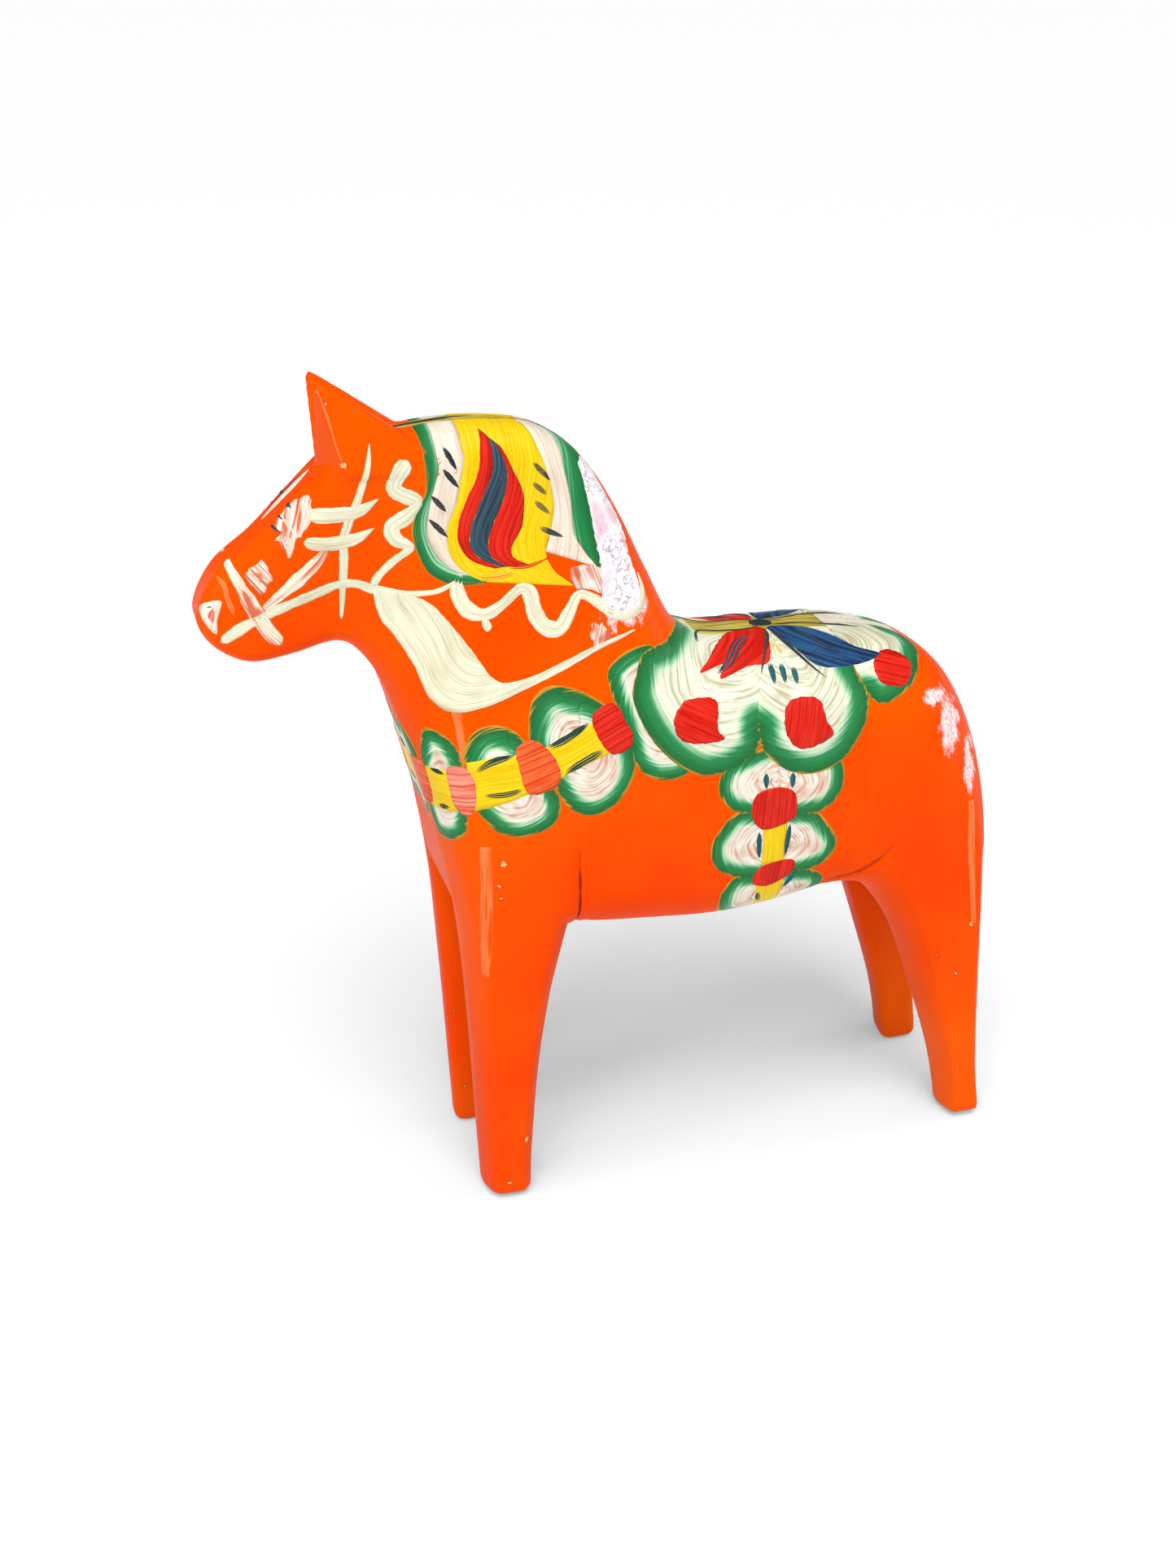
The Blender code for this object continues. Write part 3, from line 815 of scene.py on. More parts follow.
class Bridle(PaintedPanel):
    """Cream noseband, reins and cheek strokes, with worn marks at the eye and nostril."""

    def side_marks(self) -> list[Mark]:
        """The head's strokes on one side."""
        cream = Paint.CREAM
        return [
            Stroke(Paint.WORN, [(9.3, 202.6, 4), (10.4, 199.8, 9), (11.9, 196.2), (14, 191.6),
                (15.9, 187.9), (17.8, 184.4), (20.6, 181)], 0.24, (2.0, 2.4, 2.9, 4.2, 4.9, 4.4, 3.2)),
            Stroke(cream, [(5.3, 182.5), (11.1, 186.2), (14.8, 188), (19.2, 190.2), (25.8, 193),
                (32.4, 195.5), (36, 196.6), (41, 196.5), (46, 194)], 0.26,
                (2.8, 3.2, 2.4, 2.6, 2.5, 2.6, 2.2, 2.3, 2.6)),
            Stroke(Paint.WORN, [(16.4, 190.7), (21.3, 194.8), (26.9, 199.5), (32, 204.2), (34.6, 208)],
                0.22, (2.0, 2.6, 3.8, 3.0, 1.9)),
            Stroke(cream, [(38.3, 209), (38, 203), (37.3, 196), (36.5, 187)], 0.2, (2.0, 2.4, 1.6, 0.9)),
            Stroke(cream, [(46.5, 233), (45.5, 227), (42.8, 219), (40, 213), (37, 206)], 0.22,
                (0.5, 1.7, 2.0, 2.2, 2.5)),
            Stroke(cream, [(29.5, 215.3), (36, 215), (42.5, 215.6), (48, 218.6)], 0.28,
                (3.6, 4.2, 3.4, 0.5)),
            Stroke(cream, [(28, 208.4), (34, 207.6), (41, 208.4), (46.5, 211)], 0.28, (3.0, 3.8, 3.3, 0.5)),
            Stroke(cream, [(56, 228), (53.6, 224.8), (52, 221), (54.5, 219), (58, 217), (55, 213.5),
                (51, 211), (52, 207.5), (56.5, 205.5)], 0.3, (4.4, 4.4, 3.8, 4.2, 2.6, 4.2, 4.2, 3.8, 1.6)),
            Stroke(cream, [(56.5, 205.5), (51, 202), (47, 198.5), (45, 195.5)], 0.24, (1.8, 2.0, 2.0, 2.4)),
            Dab(Paint.GREY, [(26.8, 217.6, 7), (29, 219.1, 8.4), (31, 219.9, 10), (30.1, 214.9),
                (28.1, 210.7), (26.3, 209.4), (24.3, 204.6), (22.5, 208), (21.2, 209.2), (22.7, 210.8),
                (21.5, 212.1, 8), (23.5, 214.9, 7)], 0.08, focus=(26, 213), lean=1.2, rough=0.3),
            Stroke(Paint.IVORY, [(30.3, 219), (30, 215), (28.4, 211.4)], 0.14, (0.8, 1.7, 0.6)),
            Stroke(Paint.IVORY, [(23.4, 210.4), (24.2, 207.8), (24.4, 205)], 0.14, (3.0, 2.6, 0.5)),
            Stroke(Paint.IVORY, [(23, 214.6, 7.6), (25.2, 212.4), (26.2, 209.6)], 0.13, (0.7, 1.1, 0.4)),
            Stroke(Paint.RUBBED, [(28.6, 217.4), (27.4, 213.4), (26.4, 210.4)], 0.16, (0.3, 1.1, 0.3)),
            Stroke(Paint.RUBBED, [(23.8, 213.6), (24.2, 211)], 0.16, (0.4, 1.4, 0.4)),
            Dab(Paint.GREY, [(12.5, 200.9), (17.8, 204.3), (18.3, 202.4), (19.5, 199.4), (17.9, 197.2),
                (16.7, 194.9), (14.4, 197.3), (13.2, 199.2)], 0.08, focus=(16.2, 199.4), lean=-0.9,
                rough=0.25),
            Stroke(Paint.RUBBED, [(14, 200.4), (16.4, 200.6), (16.2, 197.6)], 0.14, (0.4, 1.2, 0.5)),
            Dab(Paint.IVORY, [(1.4, 191.6, 5.6), (6.1, 193.9), (4.7, 188.6), (4.3, 184.7),
                (2.5, 186.8, 8.2), (1.2, 189.2, 7)], 0.14, focus=(3.4, 189.6), lean=1.2),
            Dab(Paint.CORAL, [(2.5, 190.2), (4.4, 192), (3.6, 187.6)], 0.2, lean=1.2),
            Stroke(Paint.INK, [(25.2, 217.2, 4.8), (26.5, 216.2, 8.6)], 0.16, (1.4, 1.1, 0.3)),
            Stroke(Paint.INK, [(22.8, 214.4, 6), (24, 213.4, 9)], 0.16, (0.4, 0.6, 0.2)),
            Stroke(Paint.INK, [(20.6, 212.2, 6.6), (22.9, 210.6)], 0.16, (0.9, 0.9, 0.3)),
            Stroke(Paint.INK, [(2.6, 191.8, 7.2), (4.2, 192.2)], 0.22, (0.3, 0.6, 0.2)),
            Stroke(Paint.RUBBED, [(6.4, 199.2, 5.6), (7.6, 197.6, 8.4), (7.6, 195), (9.2, 189.6)], 0.06,
                (0.5, 1.5, 1.1, 1.5, 0.5)),
        ]

    def middle_marks(self) -> list[Mark]:
        """The pale blaze on the forehead, and painted shade as a dark line along the forehead's far edge."""
        return [
            Stroke(Paint.IVORY, [(32.6, 224, -1.6), (27.4, 218.8, -2), (22.8, 214.2, -2.4),
                (19.4, 210.8, -2.6)], 0.2, (0.8, 3.0, 3.2, 2.2, 0.6)),
            # Painted shade: a dark line along the forehead's far edge, beside the blaze.
            Stroke(Paint.INK, [(31, 222.4, -4), (26, 217.4, -4.6), (21.4, 212.8, -5)], 0.16,
                (0.4, 0.9, 0.3)),
        ]


class ThroatPanel(PaintedPanel):
    """The broad cream sweep on the throat and the rippled line under the mane."""

    def side_marks(self) -> list[Mark]:
        """The neck's cream marks on one side."""
        cream = Paint.CREAM
        return [
            Band(cream, [(45, 194.5), (46.5, 187), (50.5, 181), (54.5, 173.5), (57.5, 165.5), (63, 161.5),
                (72, 162.5), (81.5, 166), (93.5, 170.5), (105, 175.3), (115, 178.5)], 0.26, far=[(47, 195),
                (55, 192.5), (60, 190), (65, 184), (70, 176.8), (74, 170.5), (78, 168.6), (86, 170),
                (95, 173.2), (105, 176.6), (115, 179)]),
            Stroke(cream, [(45, 195), (53, 193.2), (60, 193.2), (64, 194.5), (68.5, 197.2)], 0.2,
                (2.4, 1.6, 1.5, 1.3, 1.0)),
            Stroke(cream, [(68, 198), (66.8, 193.5), (69, 188.5), (73.5, 186.8), (78, 189), (83.5, 193),
                (86, 191.5), (87, 186.5), (89.5, 182.5), (93.5, 181.7), (96.5, 185.5), (99.5, 189.8),
                (103.5, 188.4), (108, 184.8), (112.5, 183), (117.4, 184.4), (119.2, 188), (118.4, 192.4)],
                0.3,
                (2.6, 4.0, 4.6, 3.4, 2.8, 2.4, 4.2, 4.4, 4.6, 4.2, 3.4, 2.4, 3.0, 2.8, 3.0, 3.4, 2.2, 0.6)),
            Patch(cream, [(73, 185.5), (74.6, 185.2), (75.2, 183.4), (74, 182.2), (72.8, 183.6)], 0.26),
            Stroke(Paint.INK, [(53, 181), (55.5, 176)], 0.08, (0.2, 0.5, 0.2)),
        ]


# Lines that part the mane's stripes, crest to tip.
MANE_GREEN_OUT = [(59.5, 234.6, 3), (60, 230), (60.3, 225), (60, 219), (57, 214), (56, 209), (57, 204),
                  (59.2, 199), (63, 196), (67.5, 194.8), (74, 194.8)]
MANE_GREEN_IN = [(63.5, 234.8, 2), (63.5, 230), (63.8, 225), (62, 219), (60.6, 214), (60, 209), (61, 205),
                 (63.4, 201.3), (68, 198), (75, 196.4)]
MANE_YELLOW_EDGE = [(70.5, 235.2, 0), (70.5, 231), (70.6, 227), (69.3, 221), (68, 216), (65.3, 210),
                    (65.3, 204), (67.6, 199.6), (72.5, 195.6)]
FLAME = ([(76, 233.6), (75.2, 229), (74, 223), (70.3, 216), (68, 210), (68.2, 205), (71.3, 201), (77, 198.8)],
         [(78.2, 231.6), (78.2, 224), (75, 217), (71.6, 210), (71, 205), (73.3, 201.6), (79, 199)],
         [(79.6, 230.6), (82, 223.5), (80.8, 217), (77.8, 211), (75.8, 206), (76.2, 202), (80, 199)],
         [(81, 229.6), (84, 223), (86.2, 217), (85.2, 209), (82.2, 204.5), (82.3, 201.2), (86.5, 199)])
MANE_YELLOW_BACK = [(87.5, 234.4, 0), (90.8, 229), (93, 222), (94.4, 214), (93.2, 208), (91.3, 202),
                    (93, 197), (98.5, 192.3)]
MANE_PINK_BACK = [(94.6, 231.4, 0), (98, 222), (99.2, 213), (99.4, 206), (102, 201), (105.5, 196.4)]
MANE_GREEN_BACK = [(103.5, 225.2, 0), (104.8, 220.4), (105.6, 213), (106.6, 205), (108.2, 197.6)]


class ManePanel(PaintedPanel):
    """Striped mane: green, cream, yellow, a red and blue flame, pink cream and green again."""

    def side_marks(self) -> list[Mark]:
        """The mane's stripes and dashes on one side.

        Returns:
            The marks, in painting order.
        """
        marks = [
            Band(Paint.IVORY, MANE_GREEN_IN, 0.07, far=MANE_YELLOW_EDGE),
            Band(Paint.GREEN, MANE_GREEN_OUT, 0.12, far=MANE_GREEN_IN),
            Band(Paint.IVORY, MANE_YELLOW_BACK[:6], 0.07, far=MANE_PINK_BACK),
            Band(Paint.YELLOW, MANE_YELLOW_EDGE, 0.12, far=MANE_YELLOW_BACK),
            Band(Paint.GREEN, MANE_GREEN_BACK, 0.12, far=MANE_PINK_BACK, heavy=1.1),
            Band(Paint.RED, FLAME[0], 0.28, far=FLAME[1]),
            Band(Paint.RED, FLAME[2], 0.28, far=FLAME[3]),
            Band(Paint.NAVY, FLAME[1], 0.34, far=FLAME[2]),
            Stroke(Paint.RED, [(80, 199.2), (86, 198.6), (92.5, 200.4)], 0.2, (1.6, 1.3, 0.3)),
            Stroke(Paint.CORAL, [(71, 197.5), (75, 196.5), (80, 196.8), (84, 197.6)], 0.15,
                (0.6, 1.8, 1.6, 0.5)),
        ]
        dashes = [((65.6, 230.5), (68.7, 224.5)), ((65, 225.3), (69, 220)), ((61.6, 218.6), (65.4, 214)),
                  ((60.6, 212.6), (65.4, 207.4)), ((88.8, 225.6), (93.8, 220)), ((88.4, 220.4), (93, 216)),
                  ((88.6, 215.6), (93.6, 211)), ((89.2, 208.6), (96.6, 205.2))]
        marks += [Stroke(Paint.INK, [a, b], 0.2, (0.6, 1.7, 1.5, 0.4)) for a, b in dashes]
        return marks

    def middle_marks(self) -> list[Mark]:
        """The olive line that runs along the crest from between the ears."""
        crest = [(50, 233, 0), (58, 234.4, 0), (68, 235.2, 0), (80, 235, 0), (92, 232.6, 0)]
        return [
            Stroke(Paint.OLIVE, crest, 0.2, (1.5, 4.5, 6.0, 5.0, 0.8)),
            Stroke(Paint.INK, [(49, 232.6, 0), (56, 234.2, 0), (66, 235.2, 0), (78, 235.2, -1)], 0.3,
                (1.4, 2.4, 1.8, 0.4)),
            Stroke(Paint.LEAF, [(90, 233, -1), (98, 229.6, -1), (104, 224.8, -1)], 0.2, (0.6, 1.6, 0.6)),
        ]


class BreastStrap(PaintedPanel):
    """Scalloped strap round the chest: green-edged petals, yellow blocks, knots and leaf strokes."""

    def side_marks(self) -> list[Mark]:
        """The strap on one side, from the chest corner back to the saddle."""
        petal = Paint.BLUSH
        return [
            Patch(petal, [(106, 167), (109, 172), (115, 174.3), (121, 173), (127, 165), (130, 150),
                (128, 139), (120, 137.6), (115, 140), (112, 144), (110, 152)], 0.08, focus=(121, 156)),
            Patch(petal, [(57, 147, 17), (56, 156, 20), (60, 155.5), (63, 152.5), (64.6, 148), (65, 141),
                (65.5, 134), (64, 126), (60, 122.5), (58.6, 128, 15), (57.5, 138, 15)], 0.1,
                focus=(61, 139)),
            Patch(petal, [(65, 150), (66, 153.5), (69, 156.6), (73.5, 157.6), (78, 156.4), (81.5, 153),
                (84.5, 146), (89, 139), (90.5, 134), (88, 129), (83, 126.8), (78, 126.3), (73, 128),
                (70, 131), (67.6, 135), (66, 142)], 0.12, focus=(77, 142), heavy=0.7),
            Patch(petal, [(83, 152), (83, 158), (84.4, 163.4), (88.5, 166.6), (93.5, 166.4), (99, 164.2),
                (105, 160), (109, 153.5), (112, 147), (112, 140.5), (108, 134), (102, 130.4), (96, 131),
                (91.6, 134.6), (89, 140), (86, 146)], 0.14, focus=(97, 149), heavy=0.9),
            Band(Paint.YELLOW, [(56.8, 144.6, 18.5), (59.5, 145), (63, 144.6)], 0.2, far=[(58, 131.6, 17),
                (61, 132.6), (64, 134)]),
            Band(Paint.YELLOW, [(65.5, 148), (72, 149), (81, 149.8)], 0.22, far=[(67, 134.5), (75, 136.4),
                (84, 139.6)]),
            Band(Paint.YELLOW, [(85.5, 150.6), (93, 153.2), (101, 156.5)], 0.22, far=[(88, 140.8),
                (96, 143.8), (106.5, 147.2)]),
            Dab(Paint.KNOT, [(55.4, 144.5, 9), (57, 145.4, 17), (58.4, 139, 19), (58.2, 132.6, 18),
                (57, 131, 9), (56, 138, 8)], 0.32, lean=0.1),
            Dab(Paint.CORAL, [(61, 146), (64.5, 146.8), (67.3, 143.6), (67.4, 137), (65.4, 132.6),
                (62.4, 135), (61.4, 140)], 0.3, lean=0.15),
            Dab(Paint.KNOT, [(79, 151), (83, 153.2), (87, 151), (90.2, 146), (90.2, 141), (85, 138.6),
                (81, 139.4), (79.4, 146)], 0.36, lean=0.3, rough=0.1),
            Dab(Paint.RED, [(101, 158), (106, 160.6), (109, 158.5), (110, 155.4), (112, 152), (111, 148),
                (105.5, 147), (101.5, 153)], 0.38, lean=0.4, rough=0.1),
            Stroke(Paint.LEAF, [(67, 145), (72, 147.8), (78.8, 149.4)], 0.36, (0.8, 2.1, 2.2, 0.6)),
            Stroke(Paint.LEAF, [(68.6, 139), (75, 139), (81, 140.4)], 0.36, (0.6, 1.7, 1.9, 0.6)),
            Stroke(Paint.LEAF, [(87.2, 150.4), (93, 152.4), (100, 156)], 0.36, (1.4, 2.3, 2.3, 0.8)),
            Stroke(Paint.LEAF, [(91, 143), (98, 146), (104.6, 148.6)], 0.36, (1.2, 2.3, 2.4, 0.8)),
            Stroke(Paint.LEAF, [(58, 144.6, 20.5), (60.4, 143.8)], 0.36, (0.8, 1.6, 0.6)),
            Stroke(Paint.LEAF, [(59, 133.6), (61.6, 134.2)], 0.36, (0.8, 1.8, 0.6)),
        ]

    def middle_marks(self) -> list[Mark]:
        """The part of the strap on the chest's front."""
        return [
            Patch(Paint.BLUSH, [(51.5, 155, 8), (53.5, 150, 14.5), (56, 140, 16), (57.5, 130, 14),
                (58.6, 124, 8), (58.6, 127, 0), (58.6, 124, -8), (57.5, 130, -14), (56, 140, -16),
                (53.5, 150, -14.5), (51.5, 155, -8), (52.6, 151, 0)], 0.1, focus=(55, 140, 0)),
            Band(Paint.YELLOW, [(54, 145, 9), (53.6, 145, 0), (54, 145, -9)], 0.22, far=[(57, 132, 9),
                (56.8, 132, 0), (57, 132, -9)]),
            Stroke(Paint.LEAF, [(54, 144, 5), (53.8, 144.4, 0), (54, 144, -5)], 0.36, (0.5, 1.6, 0.5)),
            Stroke(Paint.LEAF, [(56.6, 134, 5), (56.4, 133.6, 0), (56.6, 134, -5)], 0.36, (0.5, 1.6, 0.5)),
        ]


class Saddle(PaintedPanel):
    """Three green-edged cream petals a side, two leaves, red dots and thin black stems."""

    def side_marks(self) -> list[Mark]:
        """The saddle's flap on one side."""
        petal = Paint.PETAL
        return [
            Patch(petal, [(183, 168, 4), (178, 163), (178, 158), (183, 154.4), (186, 151.8), (191, 151.6),
                (199, 154.4), (204.4, 157.6), (208, 160.2, 10), (205, 162.8, 3), (196, 165.6, 2)], 0.1,
                focus=(189, 161.5), crown=(176, 166, 14),
                bare=((176, 183, 150, 170), (176, 202, 163.5, 170))),
            Patch(petal, [(136, 172, 1), (129, 174, 12), (125, 173.6, 20), (117, 172.4), (114, 167),
                (112.6, 161.5), (114.6, 154.6), (119, 147), (125, 141), (132, 137.4), (140, 137.6),
                (146, 140.6), (149.4, 144.6), (150, 152), (153, 161), (155, 166.6, 12), (155, 168.6, 2)],
                0.16, focus=(138, 160), crown=(150, 166.6, 16),
                bare=((147, 160, 150, 172), (133, 160, 167.5, 175))),
            Patch(petal, [(151, 168.8, 2), (152, 162), (149.4, 153), (149.4, 144.6), (153, 139),
                (160, 134.6), (168, 134), (175, 137.6), (180.4, 144.6), (183.4, 152.6), (182.6, 157.6),
                (181, 162), (180, 167, 8), (178, 168.2, 2)], 0.2, focus=(161, 157.5),
                crown=(161, 166.6, 16), bare=((147, 154, 149, 172), (150, 186, 161, 172))),
            Dab(Paint.RED, [(129.6, 158.4), (137.5, 157), (137, 150), (138.8, 147), (131, 146.6),
                (125.6, 148.6), (124.2, 153.6), (126.4, 157)], 0.42, lean=-0.5, rough=0.12),
            Dab(Paint.RED, [(158, 153.6), (162, 155.4), (168, 154.6), (169.6, 149), (171.4, 145),
                (165, 142), (160, 142.6), (157, 147.6)], 0.46, lean=1.3, rough=0.12),
            Dab(Paint.RED, [(188.4, 161), (193.6, 162.2), (199, 160.6), (201, 158), (196.6, 154.6),
                (190.4, 155.4), (187.8, 157.6)], 0.3, lean=-0.3, rough=0.12),
            Dab(Paint.RED, [(160.5, 168.2, 3), (158, 168.2, 3), (150, 168, 4.5), (143.5, 167.4),
                (138.6, 165.6), (134.6, 163.4), (143, 164.2), (140.4, 161.4), (150, 163), (156.6, 163.6),
                (160.6, 167, 8)], 0.3, focus=(152, 166, 13), lean=0.3, rough=0.1),
            Stroke(Paint.NAVY, [(157, 168, 6), (150.6, 167, 11), (147, 165.5), (143.6, 163.6),
                (139.4, 162.4)], 0.44, (0.8, 3.2, 4.4, 3.2, 0.4)),
            Dab(Paint.BLUE, [(162.6, 168.4, 3), (171.6, 168, 5), (179, 166.8, 11), (184.6, 164),
                (191.6, 161.8), (182.6, 160.8), (171, 161.6), (165.6, 165, 15), (162.6, 167.4, 8)], 0.32,
                focus=(172, 165.4, 14), lean=-0.3, rough=0.08),
            Stroke(Paint.NAVY, [(167, 168, 5), (171.6, 167, 11), (174.6, 165.2), (180.6, 163)], 0.44,
                (0.5, 1.8, 2.0, 0.3)),
            Stroke(Paint.YELLOW, [(157.4, 167.6, 8), (160.4, 165.6, 14), (163.4, 163.6)], 0.26,
                (1.2, 2.6, 1.6)),
            Stroke(Paint.INK, [(162, 168.6, 1), (156, 168.6, 4), (144, 168.8, 4), (139.4, 170, 6),
                (137.2, 168.8, 12)], 0.5, (0.9, 0.6, 0.5, 0.6, 1.6)),
            Stroke(Paint.INK, [(161, 168.4, 3), (160, 167.4, 9), (157.4, 166), (152.4, 160.6)], 0.52,
                (1.0, 1.7, 1.1, 0.2)),
            Stroke(Paint.INK, [(162, 168.4, 4), (164, 166, 13), (168, 162.4), (172.4, 158.6)], 0.52,
                (1.0, 1.5, 0.8, 0.2)),
            Stroke(Paint.INK, [(163, 168.6, 2), (171.4, 168.4, 3), (181, 167.4, 5), (191, 166, 6)], 0.5,
                (0.9, 0.6, 0.5, 0.2)),
            Stroke(Paint.TEAL, [(156.6, 163.4), (156, 158.6)], 0.4, (1.2, 2.1, 1.8, 0.6)),
            Stroke(Paint.TEAL, [(159.8, 163.2), (159.2, 158.4)], 0.4, (1.2, 2.1, 1.8, 0.6)),
            Stroke(Paint.TEAL, [(163, 162.4), (162.6, 158)], 0.4, (1.2, 2.1, 1.8, 0.6)),
        ]

    def middle_marks(self) -> list[Mark]:
        """The olive-yellow band along the spine and the dark knot where the stems meet."""
        return [
            Band(Paint.IVORY, [(139, 170.2, 8), (150, 168.6, 7), (163, 168.4, 7), (180, 167.6, 8),
                (196, 165, 8), (205, 162.4, 6)], 0.08, far=[(139, 170.2, -8), (150, 168.6, -7),
                (163, 168.4, -7), (180, 167.6, -8), (196, 165, -8), (205, 162.4, -6)]),
            Band(Paint.OLIVE, [(139, 170.2, 7), (150, 168.6, 6), (163, 168.4, 6), (180, 167.6, 7)], 0.26,
                far=[(139, 170.2, -7), (150, 168.6, -6), (163, 168.4, -6), (180, 167.6, -7)]),
            Dab(Paint.INK, [(158.6, 168.6, 1.6), (161.6, 168.6, 3), (164.6, 168.6, 1.6),
                (164.6, 168.6, -1.6), (161.6, 168.6, -3), (158.6, 168.6, -1.6)], 0.5),
        ]


class GirthStrap(PaintedPanel):
    """The strap that hangs from the saddle and passes under the belly."""

    def side_marks(self) -> list[Mark]:
        """The girth on one side, from saddle to belly.

        Returns:
            The marks, in painting order.
        """
        petal = Paint.BLUSH
        marks = [
            Patch(petal, [(143, 104), (140, 101), (138.6, 97), (140, 91, 27), (146, 88, 24), (160, 88, 24),
                (170, 91, 27), (172, 97), (168, 102.4), (158, 104.4), (150, 104.4)], 0.1, focus=(155, 97)),
            Patch(petal, [(143.4, 125), (138, 121), (134.8, 115), (136.6, 108), (143, 104), (150, 103),
                (161, 102.6), (168, 103.6), (172.6, 106.6), (174, 112), (170.6, 118), (166, 122.4),
                (155, 124)], 0.12, focus=(155, 113)),
            Patch(petal, [(146, 142), (139, 139), (136.6, 133), (139, 127.6), (144, 124.4), (153, 122.4),
                (161, 121.6), (168, 122), (172.6, 125), (175, 130), (174, 137), (166, 141), (156, 144)],
                0.14, focus=(155, 133)),
            Band(Paint.YELLOW, [(150.4, 121), (150.8, 114), (150.6, 107)], 0.24, far=[(158, 121),
                (157.8, 114), (157.6, 107)]),
            Band(Paint.YELLOW, [(149.4, 101), (150, 96.6), (151, 91.6, 28)], 0.22, far=[(158.4, 101),
                (158, 96), (158, 91, 28)]),
            Dab(Paint.RED, [(147.4, 128.4), (150, 130.6), (155, 131.2), (159.4, 129.6), (160.6, 125.6),
                (160, 121.4), (155, 119), (150, 118.8), (147, 123)], 0.42, lean=1.5),
            Dab(Paint.RED, [(149.8, 105.6), (154.6, 107.4), (160.4, 107.4), (161, 104.4), (158, 101.4),
                (153, 99.4), (148.4, 101)], 0.38, lean=1.4),
        ]
        dashes = [((151, 136), (151.2, 130.8)), ((159.2, 135.4), (159, 130.2)), ((149.4, 118), (149.8, 109)),
                  ((158.8, 119.4), (157.8, 108.6)), ((150.4, 97.6), (152, 92.6)), ((161.4, 102.6),
                                                                                   (158.4, 98))]
        marks += [Stroke(Paint.TEAL, [a, b], 0.36, (0.8, 1.9, 1.6, 0.6)) for a, b in dashes]
        return marks


class PaintedHighlightsAndWear(PaintedPanel):
    """Painted highlights along the knife edges, and the milky neck patch of hand-worn varnish and painted
    highlight.
    """

    def side_marks(self) -> list[Mark]:
        """Painted highlights on one side's knife edges: ear, chest corner, foreleg and the back of the hind
        leg.
        """
        rubbed = Paint.RUBBED
        return [
            Stroke(rubbed, [(35.2, 246.4, 8.2), (36.6, 240, 10.4), (38, 233, 12), (39.4, 227.8, 13.2)],
                0.05, (0.3, 0.7, 0.6, 0.5)),
            Band(rubbed, [(67.8, 124), (67.8, 110), (67.4, 96), (67.8, 82)], 0.04, far=[(70.7, 124),
                (70.7, 110), (70.5, 96), (69.6, 82)]),
            Band(rubbed, [(62.7, 163), (63.6, 155), (64, 147)], 0.04, far=[(65.4, 161.4), (65.8, 154),
                (65.9, 147)]),
            Band(rubbed, [(216.4, 118), (217.4, 104), (219.6, 90), (222, 75)], 0.04, far=[(218.4, 118),
                (219.8, 104), (221.6, 90), (223.4, 75)]),
        ]

    def left_marks(self) -> list[Mark]:
        """Milky patch behind the mane, worn varnish and painted highlight; the stains under it and a scratch.
        """
        return [
            Patch(Paint.MILKY, [(102.6, 223, 10.6), (103.1, 219.4), (103.6, 216.4), (104.5, 210.4),
                (105.3, 203.4), (106.3, 196.8), (106.4, 191), (106.1, 185.8), (107.2, 183.2),
                (110.1, 182.6), (113.8, 183.2), (117.7, 184.6), (118, 190.1), (116.8, 194.2),
                (115.6, 198.5, 14), (115, 202, 12), (113, 206.5, 10), (110.4, 211, 9), (107.8, 215.5, 8),
                (105.8, 219.5, 7), (104.2, 223.4, 6)], 0.2, focus=(109.6, 200), rough=0.25),
            Dab(Paint.GREY, [(98.2, 197.2), (106.6, 196.1), (106.4, 189.8), (102.9, 191), (98.7, 191.9)],
                0.05, focus=(102.8, 193.6), lean=1.9, rough=0.1),
            Dab(Paint.GREY, [(103, 182.1), (107.4, 179.9), (107.6, 176.8), (104.6, 175.8), (102.4, 177.4)],
                0.05, focus=(105, 178.6), lean=1.3, rough=0.5),
            Stroke(Paint.IVORY, [(104.1, 175.2), (108.5, 176.6), (112.9, 177.8)], 0.08, (0.3, 0.6, 0.2)),
        ]


# ---------------------------------------------------------------- materials


